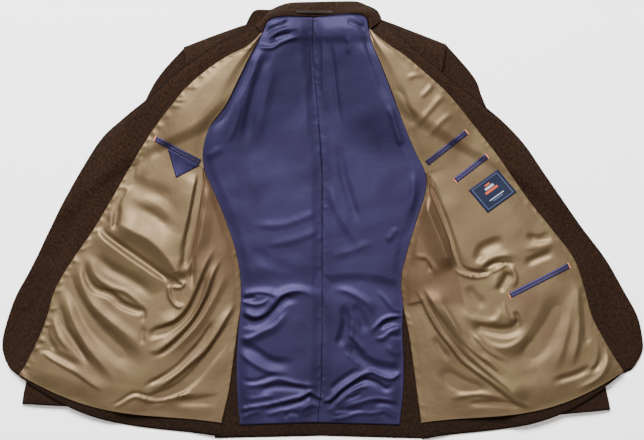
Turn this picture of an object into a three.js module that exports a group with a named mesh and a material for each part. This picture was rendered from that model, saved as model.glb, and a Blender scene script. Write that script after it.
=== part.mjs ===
// A tailored tweed blazer laid open on its outer side, with its satin lining up.
// Millimetres, +Z up, collar towards +Y. Sides are the wearer's: r lies at -X and l at +X.
// The origin is on the surface that the blazer lies on, under the middle of its outline.
import * as THREE from 'three';

// Walls and clearances
const TWEED = 1.8;
const SATIN = 1.0;
const LAPEL_PLIES = 2.6;
const SEAM = 0.3;
const HALF_SEAM = SEAM / 2;

// Hidden layers that lift the cloth above them
const SLEEVE_HEIGHT = 7.4;
const SLEEVE_BED = 9.0;
const SLEEVE_SHELF = 6;
const SLEEVE_RAMP = 46;
const CROWN_CLEARANCE = 2;
const SHOULDER_CLEARANCE = 0.9;
const SHOULDER_RIM = 1.2;
const SHOULDER_BED = 18;
const SHOULDER_RAMP = 45;
const NECK_BED = 7.5;
const NECK_REACH = 70;
const LAPEL_EDGE_GAP = 1.0;
const LAPEL_SLACK = 2.4;
const LAPEL_SLACK_REACH = 12;
const LAPEL_SHELF = 8;
const LAPEL_RAMP = 38;
const VENT_SHELF = 26;
const VENT_RAMP = 58;
const DROOP_SKEW = 1.3;
const BUTTON_BED = 3.9;

// Rounded rise of the lining between its seams
const FRONT_PUFF = 4.5;
const SIDE_PUFF = 2.5;
const BACK_PUFF = 4.0;
const PUFF_MARGIN = 45;
const PUFF_SHARE = 0.35;
const LINING_EASE = 1.3;
const EASE_MARGIN = 14;

// Collar and its hanger loop
const STAND_ARCH = 1.6;
const NECKLINE_BOW = 8;
const STAND_GAP = 1.3;
const LOOP_SLACK = 1.4;
const LOOP_LIFT = 0.6;
const FALL_START = 302;
const FALL_FULL = 318;

// Small pieces
const LIP_WIDTH = 4.2;
const LIP_WALL = 0.9;
const LIP_LIFT = 0.8;
const TAB_POINT = 0.97;
const LABEL_WALL = 0.9;
const LOOP_WIDTH = 5;
const LOOP_WALL = 1.0;
const BUTTON_RADIUS = 10;
const BUTTON_THICKNESS = 3.4;
const BUTTON_DISH = 0.8;
const BUTTON_BEVEL = 0.6;

// Colours of the cloths and trimmings
const COLOURS = {
  tweed: [0x432c20, 0.95],
  tweedInside: [0x3a261c, 0.95],
  champagne: [0xa58c69, 0.4],
  blue: [0x45447c, 0.35],
  jet: [0x4c4c94, 0.45],
  navy: [0x1c284b, 0.6],
  loop: [0x5a4a42, 0.7],
  horn: [0x2b1b12, 0.4],
};

// Turns rows of numbers into records with named columns.
function table(names, rows) {
  return rows.map((row) => Object.fromEntries(names.map((name, index) => [name, row[index]])));
}

// Sections down each half of the body, from the neck (0) to the lining's hem (17) and the cloth's hem (18).
// seam: side and shoulder seam of the linings. border: seam of facing and lining. edge: roll line and
// front edge. back: edge of the back cloth. sag: droop of the section. split: where the side panel ends,
// as a part of the way from seam to border. vent: how far the back lining stays from the seam.
// lapel: width of the turned-under lapel, with a narrow strip left past its end.
const HALF_COLUMNS = [
  'seamX', 'seamY', 'borderX', 'borderY', 'edgeX', 'edgeY', 'backX', 'backY', 'sag', 'split', 'vent', 'lapel',
];
const RIGHT_HALF = table(HALF_COLUMNS, [
  [-96, 338, -97, 337, -105, 346, -110, 339, 0, 0, 0, 0],
  [-104, 320, -106, 322, -117, 334, -174, 321, 0, 0, 0, 20],
  [-115, 300, -130, 298, -142, 320, -234.5, 297, 0, 0, 0, 28],
  [-130, 271, -161, 282, -177, 304, -234, 269, 0, 0, 0, 50],
  [-146, 238, -196, 259, -215, 278, -229, 235, 0, 0, 0, 72],
  [-166, 197, -232, 228, -256, 249, -222, 195, 0, 0, 0, 84],
  [-194, 159, -263, 191, -299, 210, -215, 158, 0, 0, 0, 85],
  [-205, 121, -291, 155, -341, 176, -206, 121, 0, 0, 0, 76],
  [-203, 88, -314, 119, -378, 143, -203, 88, 0, 0.03, 0, 60],
  [-187, 50, -337, 81, -411, 93, -187, 50, 0, 0.14, 0, 36],
  [-168, 4, -363, 36, -442, 38, -168, 4, 0, 0.24, 0, 12],
  [-151, -46, -392, -13, -471, -20, -151, -46, 0, 0.31, 0, 12],
  [-142, -94, -430, -68, -502, -84, -142, -94, 0, 0.33, 0, 12],
  [-141, -142, -459, -118, -528, -132, -141, -142, 3, 0.33, 0, 12],
  [-147, -189, -474, -168, -544, -177, -147, -189, 7, 0.34, 2, 12],
  [-154, -240, -491, -209, -551, -211, -162, -241, 12, 0.35, 6, 12],
  [-162, -294, -508, -244, -547, -235, -171, -296, 17, 0.37, 15, 12],
  [-174, -347, -520, -264, -538, -253, -184, -350, 24, 0.4, 32, 12],
  [-175, -372, -516, -270, -535, -256, -186, -374, 29, 0.41, 40, 12],
]);
const LEFT_HALF = table(HALF_COLUMNS, [
  [76, 345, 77, 344, 92, 351, 98, 347, 0, 0, 0, 0],
  [79, 327, 82, 328, 101, 341, 160, 322, 0, 0, 0, 20],
  [86, 300, 112, 301, 128, 318, 207, 300, 0, 0, 0, 28],
  [98, 271, 141, 281, 155, 295, 205.5, 270, 0, 0, 0, 50],
  [111, 238, 174, 253, 188, 267, 190, 236, 0, 0, 0, 72],
  [126, 198, 208, 222, 229, 234, 164, 197, 0, 0, 0, 84],
  [141, 159, 238, 188, 274, 198.5, 141, 159, 0, 0, 0, 85],
  [159, 117, 267, 152, 314, 164.5, 159, 117, 0, 0, 0, 76],
  [176, 81, 294, 118, 348, 128, 176, 81, 0, 0.03, 0, 60],
  [176, 49, 320, 81, 375.5, 88, 176, 49, 0, 0.12, 0, 36],
  [162, 4, 353, 35, 406.5, 43, 162, 4, 0, 0.22, 0, 12],
  [147, -46, 391, -13, 444, -10, 147, -46, 0, 0.29, 0, 12],
  [135, -96, 430, -65, 486, -66, 135, -96, 0, 0.32, 0, 12],
  [138, -144, 448, -116, 517.5, -121, 138, -144, 3, 0.33, 0, 12],
  [147, -189, 460, -161, 541, -165, 147, -189, 7, 0.34, 10, 12],
  [155, -242, 480, -201, 550, -209, 163, -243, 12, 0.36, 16, 12],
  [162, -294, 499, -233, 547, -230, 172, -295, 19, 0.38, 24, 12],
  [169, -347, 515, -259, 535, -251, 181, -350, 28, 0.41, 37, 12],
  [170, -376, 509, -266, 530, -257, 184, -375, 33, 0.41, 42, 12],
]);
// Centre back seam at the same sections.
const CENTRE = table(['x', 'y'], [
  [-17, 349], [-17, 326], [-17, 300], [-16, 271], [-13, 236], [-9, 197], [-6, 157], [-3, 116], [-1, 80],
  [-1, 45], [-1, -1], [-1, -51], [-1, -99], [-1, -147], [-1, -194], [-2, -244], [-3, -295], [-8, -347],
  [-1, -370],
]);
const NECK_ROW = 0;
const FRONT_TOP = 1;
const LAPEL_TOP = 2;
const ARMPIT_ROW = 8;
const LAPEL_END = 10;
const LAPEL_GONE = 11;
const VENT_START = 13;
const VENT_ROW = 14;
const BACK_HEM_DROP = 1.5;
const LINING_HEM = 17;
const CLOTH_HEM = 18;
const ROW_STEP = 0.5;

// Flattened sleeves: outer and inner edge from the armhole to the cuff.
const SLEEVE_COLUMNS = ['outerX', 'outerY', 'innerX', 'innerY'];
const RIGHT_SLEEVE = table(SLEEVE_COLUMNS, [
  [-240, 295, -207, 89],
  [-280, 250, -210, 35],
  [-307, 202, -218, -25],
  [-366, 69, -237, -82],
  [-426, -68, -273, -154],
  [-478, -180, -318, -223],
  [-509, -275, -361, -283],
  [-517, -315, -375, -322],
]);
const LEFT_SLEEVE = table(SLEEVE_COLUMNS, [
  [213, 301, 178, 90],
  [260, 246, 182, 35],
  [278, 202, 189, -25],
  [339, 69, 207, -82],
  [401, -68, 243, -154],
  [454, -180, 288, -223],
  [486, -288, 332, -290],
  [494, -325, 351, -338],
]);

// Padded shoulders: outer silhouette and hidden inner edge, from the neck to the armhole.
const RIGHT_SHOULDER = table(SLEEVE_COLUMNS, [
  [-113, 339, -106, 327],
  [-133, 336.5, -117, 300],
  [-166, 325.5, -134, 262],
  [-203, 312, -153, 221],
  [-239.5, 298, -218.3, 166],
]);
const LEFT_SHOULDER = table(SLEEVE_COLUMNS, [
  [101, 345, 81, 328],
  [121, 338, 88, 300],
  [152, 326, 102, 262],
  [183, 314, 121, 221],
  [212, 303, 188.8, 166],
]);

// Fold line of the collar, from the right gorge round the neck to the left gorge.
const FOLD_LINE = table(['x', 'y'], [
  [-117, 336], [-105, 345], [-94, 357], [-79, 368], [-55, 374], [-12, 376], [30, 376.5], [58, 375.5],
  [74, 369], [88, 360], [97, 348], [100, 342],
]);
// Collar fall: its outer edge and the edge that is hidden under the neck.
const FALL = table(SLEEVE_COLUMNS, [
  [-133, 336, -114, 330], [-118, 361, -104, 331], [-91, 363, -85, 330], [-77, 369, -68, 329],
  [-55, 375, -48, 329], [-12, 376.5, -12, 329], [30, 377.5, 24, 329], [58, 377, 50, 329],
  [75, 371, 66, 330], [93, 362, 78, 331], [101, 348, 86, 331],
]);

// Largest folds of the linings: a bent line, its full width and its height, with troughs below zero.
const FOLD_COLUMNS = ['fromX', 'fromY', 'bendX', 'bendY', 'toX', 'toY', 'width', 'height'];
const RIGHT_FOLDS = table(FOLD_COLUMNS, [
  [-383, -12, -333, -58, -262, -108, 46, 8],
  [-364, 0, -300, -48, -250, -100, 54, -4],
  [-176, -74, -242, -152, -310, -188, 50, 9],
  [-145, -131, -200, -188, -306, -290, 46, 8],
  [-190, -180, -284, -294, -352, -324, 40, 7],
  [-210, 50, -221, 0, -241, -92, 40, 6],
  [-472, -230, -430, -258, -376, -294, 40, 4],
  [-430, -100, -390, -180, -330, -230, 60, 5],
]);
const LEFT_FOLDS = table(FOLD_COLUMNS, [
  [179, 60, 208, -2, 238, -88, 44, 7],
  [171, -130, 232, -232, 340, -310, 40, 8],
  [219, -82, 262, -138, 306, -168, 50, 7],
  [262, -194, 306, -216, 352, -182, 48, 7],
  [150, 250, 190, 205, 214, 166, 50, 4],
  [330, -60, 372, -72, 420, -52, 60, 4],
]);
const BACK_FOLDS = table(FOLD_COLUMNS, [
  [-139, -122, -104, -116, -56, -134, 46, 6],
  [-133, -150, -104, -166, -56, -140, 44, 5],
  [140, -162, 106, -168, 70, -200, 44, 6],
  [-104, -322, -40, -300, 4, -312, 44, 6],
  [4, -312, 40, -272, 110, -270, 46, 7],
  [-95, 324, -60, 300, -42, 240, 46, 4],
  [60, 320, 66, 250, 56, 160, 60, 4],
]);

// Pocket lips, from one end to the other, on the front linings.
const POCKETS = [
  { name: 'breast_jet_r', side: 'r', from: [-286, 140], to: [-210, 100] },
  { name: 'breast_jet_l', side: 'l', from: [245, 151], to: [178, 98] },
  { name: 'pen_jet_l', side: 'l', from: [280, 110], to: [227, 69] },
  { name: 'ticket_jet_l', side: 'l', from: [421, -77], to: [320, -128] },
];
const TAB = { from: [-266, 121], to: [-212, 92], tip: [-251, 73] };
const LABEL = { corner: [249, 52], across: [299, 88], down: [282, 13] };
const LOOP = { from: [-46, 355], to: [18, 355] };
// Front buttons, under the right front's edge.
const BUTTONS = [
  { name: 'front_button_1', x: -447, y: -14 },
  { name: 'front_button_2', x: -492, y: -112 },
];
const BUTTON_CLEAR = 30;
const BUTTON_RAMP = 34;

const smooth = THREE.MathUtils.smoothstep;
const mix = THREE.MathUtils.lerp;

// Reads a column of a table at a fractional row, along a smooth curve through its rows.
function at(rows, name, position) {
  const last = rows.length - 1;
  const index = Math.min(Math.floor(position), last - 1);
  const t = position - index;
  const value = (row) => rows[Math.max(0, Math.min(last, row))][name];
  const [a, b, c, d] = [value(index - 1), value(index), value(index + 1), value(index + 2)];
  const bend = 2 * a - 5 * b + 4 * c - d;
  const twist = 3 * b - a - 3 * c + d;
  return b + 0.5 * t * (c - a + t * (bend + t * twist));
}

// Evenly spaced values from start to end.
function steps(start, end, count) {
  return Array.from({ length: count + 1 }, (_, index) => mix(start, end, index / count));
}

// Distance from a point to the straight piece between two others.
function distanceToSegment(x, y, a, b) {
  const [dx, dy] = [b[0] - a[0], b[1] - a[1]];
  const t = THREE.MathUtils.clamp(((x - a[0]) * dx + (y - a[1]) * dy) / (dx * dx + dy * dy), 0, 1);
  return Math.hypot(x - a[0] - t * dx, y - a[1] - t * dy);
}

// Outline of a flat strip given by its outer and inner edges.
function outlineOf(rows) {
  const outer = rows.map((row) => [row.outerX, row.outerY]);
  const inner = rows.map((row) => [row.innerX, row.innerY]);
  return [...outer, ...inner.reverse()];
}

// Distance outside an outline, and zero within it.
function distanceOutside(x, y, outline) {
  let inside = false;
  let nearest = Infinity;
  outline.forEach((a, index) => {
    const b = outline[(index + 1) % outline.length];
    nearest = Math.min(nearest, distanceToSegment(x, y, a, b));
    const crosses = a[1] > y !== b[1] > y;
    if (crosses && x < ((b[0] - a[0]) * (y - a[1])) / (b[1] - a[1]) + a[0]) inside = !inside;
  });
  return inside ? 0 : nearest;
}

// What belongs to one half of the body.
const HALVES = {
  r: {
    rows: RIGHT_HALF,
    sleeve: RIGHT_SLEEVE,
    shoulder: RIGHT_SHOULDER,
    folds: RIGHT_FOLDS,
    buttons: BUTTONS,
    outward: -1,
  },
  l: {
    rows: LEFT_HALF,
    sleeve: LEFT_SLEEVE,
    shoulder: LEFT_SHOULDER,
    folds: LEFT_FOLDS,
    buttons: [],
    outward: 1,
  },
};
for (const half of Object.values(HALVES)) {
  half.sleeveOutline = outlineOf(half.sleeve);
  half.shoulderOutline = outlineOf(half.shoulder);
}

// Height of the cloth over the padded shoulder, lower towards the neck.
function crown(half, x, y) {
  const neck = half.shoulder[0];
  const fromNeck = Math.hypot(x - neck.outerX, y - neck.outerY);
  return mix(NECK_BED, SHOULDER_BED, smooth(fromNeck, 0, NECK_REACH));
}

// Height of the sleeve, shoulder and buttons that the cloth above lies on.
function bed(half, x, y) {
  const fromSleeve = distanceOutside(x, y, half.sleeveOutline);
  const sleeve = SLEEVE_BED * (1 - smooth(fromSleeve, SLEEVE_SHELF, SLEEVE_RAMP));
  const outside = distanceOutside(x, y, half.shoulderOutline);
  const shoulder = crown(half, x, y) * (1 - smooth(outside, 0, SHOULDER_RAMP));
  const cloth = Math.hypot(sleeve ** 2, shoulder ** 2) ** 0.5;
  return half.buttons.reduce((height, button) => {
    const away = Math.hypot(x - button.x, y - button.y);
    return Math.max(height, BUTTON_BED * (1 - smooth(away, BUTTON_CLEAR, BUTTON_RAMP + BUTTON_CLEAR)));
  }, cloth);
}

// Lift of the back's upper edge over the collar fall.
const neckLift = (y) => (TWEED + SEAM) * smooth(y, FALL_START, FALL_FULL);

// Point on a section of a front: 0 at the side seam, 1 at the facing seam, 2 at the front edge.
function frontPoint(half, row, across) {
  const read = (name) => at(half.rows, name, row);
  const [seamX, seamY, borderX, borderY] = ['seamX', 'seamY', 'borderX', 'borderY'].map(read);
  if (across > 1) return [mix(borderX, read('edgeX'), across - 1), mix(borderY, read('edgeY'), across - 1)];
  const [dx, dy] = [borderX - seamX, borderY - seamY];
  const droop = (read('sag') * Math.sin(Math.PI * across ** DROOP_SKEW)) / Math.hypot(dx, dy);
  const down = half.outward;
  return [seamX + across * dx + down * droop * dy, seamY + across * dy - down * droop * dx];
}

// Lengths of a front's section: from seam to facing seam, and from there to the edge.
function sectionWidths(half, row) {
  const [seam, border, edge] = [0, 1, 2].map((across) => frontPoint(half, row, across));
  return {
    panel: Math.hypot(border[0] - seam[0], border[1] - seam[1]),
    facing: Math.hypot(edge[0] - border[0], edge[1] - border[1]),
  };
}

// Distance of a place on a section from the front edge.
function fromEdge(widths, across) {
  return across > 1 ? (2 - across) * widths.facing : widths.facing + (1 - across) * widths.panel;
}

// Lift of the front over its turned-under lapel.
function lapelLift(half, row, across) {
  const away = fromEdge(sectionWidths(half, row), across);
  const width = at(half.rows, 'lapel', row);
  const length = smooth(row, FRONT_TOP, LAPEL_TOP) * (1 - smooth(row, LAPEL_END, LAPEL_GONE));
  const slack = LAPEL_EDGE_GAP + LAPEL_SLACK * smooth(away, 0, LAPEL_SLACK_REACH);
  const plies = LAPEL_PLIES + 2 * SEAM + slack;
  return plies * length * (1 - smooth(away, width + LAPEL_SHELF, width + LAPEL_RAMP));
}

// Lift of the side body over the back's vent underlap.
function ventLift(half, row, across) {
  const away = across * sectionWidths(half, row).panel;
  return (TWEED + 2 * SEAM) * smooth(row, VENT_START, VENT_ROW) * (1 - smooth(away, VENT_SHELF, VENT_RAMP));
}

// Bottom of the front's cloth at a place on a section.
function frontBase(half, row, across) {
  const [x, y] = frontPoint(half, row, across);
  return { x, y, z: bed(half, x, y) + lapelLift(half, row, across) + ventLift(half, row, across) };
}

// Height that the folds add at a place.
function foldHeight(folds, x, y) {
  return folds.reduce((height, fold) => {
    const [from, bend, to] = [[fold.fromX, fold.fromY], [fold.bendX, fold.bendY], [fold.toX, fold.toY]];
    const away = Math.min(distanceToSegment(x, y, from, bend), distanceToSegment(x, y, bend, to));
    return height + fold.height * (1 - smooth(away, 0, fold.width / 2));
  }, 0);
}

// Closed wall over a grid of places, each with its low and high side.
function sheet(grid) {
  const [rows, columns] = [grid.length, grid[0].length];
  const positions = [];
  for (const side of ['low', 'high']) {
    grid.flat().forEach((place) => positions.push(place.x, place.y, place[side]));
  }
  const count = rows * columns;
  const low = (row, column) => row * columns + column;
  const high = (row, column) => count + low(row, column);
  const faces = [];
  const quad = (a, b, c, d) => faces.push([a, b, c], [a, c, d]);
  for (let row = 0; row < rows - 1; row += 1) {
    for (let column = 0; column < columns - 1; column += 1) {
      quad(high(row, column), high(row, column + 1), high(row + 1, column + 1), high(row + 1, column));
      quad(low(row, column), low(row + 1, column), low(row + 1, column + 1), low(row, column + 1));
    }
    const end = columns - 1;
    quad(low(row, 0), high(row, 0), high(row + 1, 0), low(row + 1, 0));
    quad(low(row, end), low(row + 1, end), high(row + 1, end), high(row, end));
  }
  for (let column = 0; column < columns - 1; column += 1) {
    const end = rows - 1;
    quad(low(0, column), low(0, column + 1), high(0, column + 1), high(0, column));
    quad(low(end, column), high(end, column), high(end, column + 1), low(end, column + 1));
  }
  const [a, b, c] = [grid[0][0], grid[0][columns - 1], grid[rows - 1][0]];
  const turned = (b.x - a.x) * (c.y - a.y) - (b.y - a.y) * (c.x - a.x) < 0;
  const geometry = new THREE.BufferGeometry();
  geometry.setAttribute('position', new THREE.Float32BufferAttribute(positions, 3));
  geometry.setIndex(faces.flatMap((face) => (turned ? [face[0], face[2], face[1]] : face)));
  geometry.computeVertexNormals();
  return geometry;
}

const body = new THREE.Group();

// Adds a piece under its name in one of the cloths or trimmings.
function add(name, geometry, colour) {
  const [color, roughness] = COLOURS[colour];
  const piece = new THREE.Mesh(geometry, new THREE.MeshStandardMaterial({ color, roughness, metalness: 0 }));
  piece.name = name;
  body.add(piece);
}

// Puts a point between every two neighbours of a row, so that a finer grid keeps the coarse one's form.
function refine(row) {
  return row.flatMap((place, index) => {
    if (index === 0) return [place];
    const before = row[index - 1];
    const middle = Object.fromEntries(Object.keys(place).map((key) => [key, (place[key] + before[key]) / 2]));
    return [middle, place];
  });
}

const sectionRows = (from, to) => Array.from(
  { length: (to - from) / ROW_STEP + 1 },
  (_, index) => from + index * ROW_STEP,
);

// Bottoms of a panel's cloth over a run of sections; ends(row) gives where it starts and stops across.
function frontGrid(half, from, to, columns, ends) {
  return sectionRows(from, to).map((row) => {
    const [start, stop] = ends(row);
    return steps(start, stop, columns).map((across) => ({ ...frontBase(half, row, across), across, row }));
  });
}

// Start and stop of each panel across a section, half a seam in from its neighbours.
function panelEnds(half, row) {
  const { panel, facing } = sectionWidths(half, row);
  const inset = HALF_SEAM / Math.max(panel, 1);
  const split = row < ARMPIT_ROW ? 0 : at(half.rows, 'split', row);
  return {
    side: [inset, split - inset],
    front: [split + inset, 1 - inset],
    facing: [1 + HALF_SEAM / facing, 2],
  };
}

const wall = (grid, lift, thickness) => grid.map((row) => row.map((place) => {
  const low = place.z + lift(place);
  return { x: place.x, y: place.y, low, high: low + thickness };
}));

// Share of a lining's rise at a place: nothing at a seam or hem, full further in.
function riseShare(place, panel, ends) {
  const side = Math.min(place.across - ends[0], ends[1] - place.across) * panel;
  const hem = (LINING_HEM - place.row) * PUFF_MARGIN;
  const reach = Math.min(PUFF_MARGIN, PUFF_SHARE * (ends[1] - ends[0]) * panel);
  return {
    ease: Math.min(1, side / EASE_MARGIN),
    full: smooth(side, 0, Math.max(reach, 1)) * smooth(hem, 0, PUFF_MARGIN),
  };
}

// Lining of one panel of a front, with its folds.
function frontLining(half, name, panel, from, columns, height) {
  const ends = (row) => panelEnds(half, row)[panel];
  const grid = frontGrid(half, from, LINING_HEM, columns, ends).map(refine);
  const lift = (place) => {
    const share = riseShare(place, sectionWidths(half, place.row).panel, ends(place.row));
    const rise = Math.max(0, height + foldHeight(half.folds, place.x, place.y));
    return TWEED + SEAM + LINING_EASE * share.ease + share.full * rise;
  };
  const places = wall(grid, lift, SATIN);
  add(name, sheet(places), 'champagne');
  return places;
}

// Height of a finished wall's upper side at a place.
function heightOn(places, x, y) {
  const inTriangle = (a, b, c) => {
    const area = (b.x - a.x) * (c.y - a.y) - (c.x - a.x) * (b.y - a.y);
    const v = ((x - a.x) * (c.y - a.y) - (c.x - a.x) * (y - a.y)) / area;
    const w = ((b.x - a.x) * (y - a.y) - (x - a.x) * (b.y - a.y)) / area;
    return v >= 0 && w >= 0 && v + w <= 1 ? a.high + v * (b.high - a.high) + w * (c.high - a.high) : null;
  };
  for (let row = 0; row < places.length - 1; row += 1) {
    for (let column = 0; column < places[row].length - 1; column += 1) {
      const [a, b] = [places[row][column], places[row][column + 1]];
      const [c, d] = [places[row + 1][column + 1], places[row + 1][column]];
      const height = inTriangle(a, b, c) ?? inTriangle(a, c, d);
      if (height !== null) return height;
    }
  }
  throw new Error(`no cloth under ${x}, ${y}`);
}

// Small piece laid on a wall: corner is where it starts, along and across are its two sides.
function laidOn(places, corner, along, across, counts, lift, thickness) {
  return steps(0, 1, counts[0]).map((t) => steps(0, 1, counts[1]).map((s) => {
    const x = corner[0] + t * along[0] + s * across(t)[0];
    const y = corner[1] + t * along[1] + s * across(t)[1];
    const low = heightOn(places, x, y) + lift(t);
    return { x, y, low, high: low + thickness };
  }));
}

const between = (from, to) => [to[0] - from[0], to[1] - from[1]];

// Two lips of a jetted pocket, one on each side of its slit.
function pocket({ name, from, to }, places) {
  const along = between(from, to);
  const length = Math.hypot(...along);
  const aside = [-along[1] / length, along[0] / length];
  for (const [suffix, side] of [['upper', 1], ['lower', -1]]) {
    const reach = side * HALF_SEAM;
    const corner = [from[0] + reach * aside[0], from[1] + reach * aside[1]];
    const width = aside.map((value) => side * value * LIP_WIDTH);
    const lips = laidOn(places, corner, along, () => width, [12, 1], () => LIP_LIFT, LIP_WALL);
    add(`${name}_${suffix}`, sheet(lips), 'jet');
  }
}

// Everything that lies on one front's lining.
function frontTrim(side, places) {
  POCKETS.filter((jet) => jet.side === side).forEach((jet) => pocket(jet, places));
  if (side === 'r') {
    const base = between(TAB.from, TAB.to);
    const toTip = between(TAB.from, TAB.tip);
    const grid = steps(0, TAB_POINT, 4).map((t) => steps(0, 1, 3).map((s) => {
      const x = TAB.from[0] + t * toTip[0] + s * (1 - t) * base[0];
      const y = TAB.from[1] + t * toTip[1] + s * (1 - t) * base[1];
      const low = heightOn(places, x, y) + LIP_LIFT;
      return { x, y, low, high: low + LIP_WALL };
    }));
    add('pocket_tab_r', sheet(grid), 'jet');
    return;
  }
  const down = between(LABEL.corner, LABEL.down);
  const label = laidOn(
    places, LABEL.corner, between(LABEL.corner, LABEL.across), () => down, [4, 4], () => LIP_LIFT, LABEL_WALL,
  );
  add('label_l', sheet(label), 'navy');
}

// One front: cloth, side body, facing, turned-under lapel, linings and what lies on them.
function front(side) {
  const half = HALVES[side];
  const ends = (panel) => (row) => panelEnds(half, row)[panel];
  const flat = () => 0;
  const chest = frontGrid(half, FRONT_TOP, CLOTH_HEM, 6, ends('front'));
  const edge = frontGrid(half, FRONT_TOP, CLOTH_HEM, 2, ends('facing'));
  const forepart = chest.map((row, index) => [...row, ...edge[index]]);
  add(`forepart_${side}`, sheet(wall(forepart, flat, TWEED)), 'tweedInside');
  const sideBody = frontGrid(half, ARMPIT_ROW, CLOTH_HEM, 3, ends('side'));
  add(`side_body_${side}`, sheet(wall(sideBody, flat, TWEED)), 'tweedInside');
  const facing = frontGrid(half, FRONT_TOP, LINING_HEM, 2, ends('facing'));
  add(`facing_${side}`, sheet(wall(facing, () => TWEED + SEAM, TWEED)), 'tweed');
  add(`lapel_${side}`, sheet(lapel(half)), 'tweed');
  const lining = frontLining(half, `front_lining_${side}`, 'front', FRONT_TOP, 6, FRONT_PUFF);
  frontLining(half, `side_lining_${side}`, 'side', ARMPIT_ROW, 3, SIDE_PUFF);
  frontTrim(side, lining);
}

// The lapel, turned under along the roll line.
function lapel(half) {
  return sectionRows(LAPEL_TOP, LAPEL_END).map((row) => {
    const widths = sectionWidths(half, row);
    const width = Math.min(at(half.rows, 'lapel', row), widths.panel + widths.facing - LAPEL_SHELF);
    return steps(0, width, 4).map((away) => {
      const across = away < widths.facing
        ? 2 - away / widths.facing
        : 1 - (away - widths.facing) / widths.panel;
      const [x, y] = frontPoint(half, row, across);
      const low = bed(half, x, y) + SEAM;
      return { x, y, low, high: low + LAPEL_PLIES };
    });
  });
}

// Place on a section of the back lining: 0 at its side edge, 1 at the centre seam.
function backPoint(half, row, across) {
  const vent = Math.max(0, at(half.rows, 'vent', row));
  const edgeX = at(half.rows, 'seamX', row) - half.outward * vent;
  const edgeY = at(half.rows, 'seamY', row) - Math.max(0, row - VENT_ROW) * BACK_HEM_DROP;
  const bow = NECKLINE_BOW * Math.max(0, 1 - row) ** 2 * Math.sin(Math.PI * Math.sqrt(across));
  return [mix(edgeX, at(CENTRE, 'x', row), across), mix(edgeY, at(CENTRE, 'y', row), across) + bow];
}

const backLift = (half, x, y) => TWEED + SEAM + bed(half, x, y) + neckLift(y);

// One half of the back: its cloth and its lining.
function back(side) {
  const half = HALVES[side];
  const cloth = sectionRows(NECK_ROW, CLOTH_HEM).map((row) => {
    const [edgeX, edgeY] = [at(half.rows, 'backX', row), at(half.rows, 'backY', row)];
    const centre = [at(CENTRE, 'x', row) + half.outward * HALF_SEAM, at(CENTRE, 'y', row)];
    return steps(0, 1, 4).map((across) => {
      const x = mix(edgeX - half.outward * SEAM, centre[0], across);
      const y = mix(edgeY, centre[1], across);
      return { x, y, low: neckLift(y), high: neckLift(y) + TWEED };
    });
  });
  add(`back_${side}`, sheet(cloth), 'tweedInside');
  const lining = sectionRows(NECK_ROW, LINING_HEM).map((row) => {
    const [edge, centre] = [backPoint(half, row, 0), backPoint(half, row, 1)];
    const width = Math.hypot(centre[0] - edge[0], centre[1] - edge[1]);
    const inset = HALF_SEAM / width;
    const coarse = steps(inset, 1 - inset, 4).map((across) => {
      const [x, y] = backPoint(half, row, across);
      return { x, y, z: backLift(half, x, y), across };
    });
    return refine(coarse).map((place) => {
      const sideways = Math.min(place.across, 1 - place.across) * width;
      const lengthways = Math.min(row, LINING_HEM - row) * PUFF_MARGIN;
      const rise = smooth(sideways, 0, PUFF_MARGIN / 2) * smooth(lengthways, 0, PUFF_MARGIN);
      const low = place.z + rise * Math.max(1, BACK_PUFF + foldHeight(BACK_FOLDS, place.x, place.y));
      return { x: place.x, y: place.y, low, high: low + SATIN };
    });
  });
  add(`back_lining_${side}`, sheet(lining), 'blue');
}

// A sleeve pressed flat: the under sleeve on the surface and the top sleeve arched over it.
function sleeve(side) {
  const half = HALVES[side];
  const place = (row, across) => {
    const read = (name) => at(half.sleeve, name, row);
    return [mix(read('outerX'), read('innerX'), across), mix(read('outerY'), read('innerY'), across)];
  };
  const last = half.sleeve.length - 1;
  const rows = steps(0, last, 2 * last);
  const grid = (columns, heights) => rows.map((row) => steps(0, 1, columns).map((across) => {
    const [x, y] = place(row, across);
    return { x, y, ...heights(2 * across - 1) };
  }));
  const rim = 2 * TWEED + SEAM;
  const arch = (r) => {
    const high = mix(rim, SLEEVE_HEIGHT, 1 - r ** 4);
    return { low: high - TWEED, high };
  };
  add(`under_sleeve_${side}`, sheet(grid(3, () => ({ low: 0, high: TWEED }))), 'tweed');
  add(`top_sleeve_${side}`, sheet(grid(6, arch)), 'tweed');
}

// A padded shoulder: the folded layers between back and front, as one rounded solid.
function shoulder(side) {
  const half = HALVES[side];
  const last = half.shoulder.length - 1;
  const grid = steps(0, last, 2 * last).map((row) => steps(0, 1, 5).map((across) => {
    const x = mix(at(half.shoulder, 'outerX', row), at(half.shoulder, 'innerX', row), across);
    const y = mix(at(half.shoulder, 'outerY', row), at(half.shoulder, 'innerY', row), across);
    const low = TWEED + SHOULDER_CLEARANCE + neckLift(y);
    const rim = low + SHOULDER_RIM;
    const rise = Math.max(0, crown(half, x, y) - CROWN_CLEARANCE - rim);
    return { x, y, low, high: rim + rise * (1 - (2 * across - 1) ** 4) };
  }));
  add(`shoulder_${side}`, sheet(grid), 'tweed');
}

// Seam of collar and lining, from the right gorge round the neck to the left gorge.
function neckline() {
  const run = (half) => {
    const side = [FRONT_TOP, ROW_STEP, NECK_ROW].map((row) => [half, ...backPoint(half, row, 0)]);
    const top = steps(0, 1, 8).slice(1).map((across) => [half, ...backPoint(half, NECK_ROW, across)]);
    return [...side, ...top];
  };
  return [...run(HALVES.r), ...run(HALVES.l).reverse().slice(1)];
}

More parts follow.
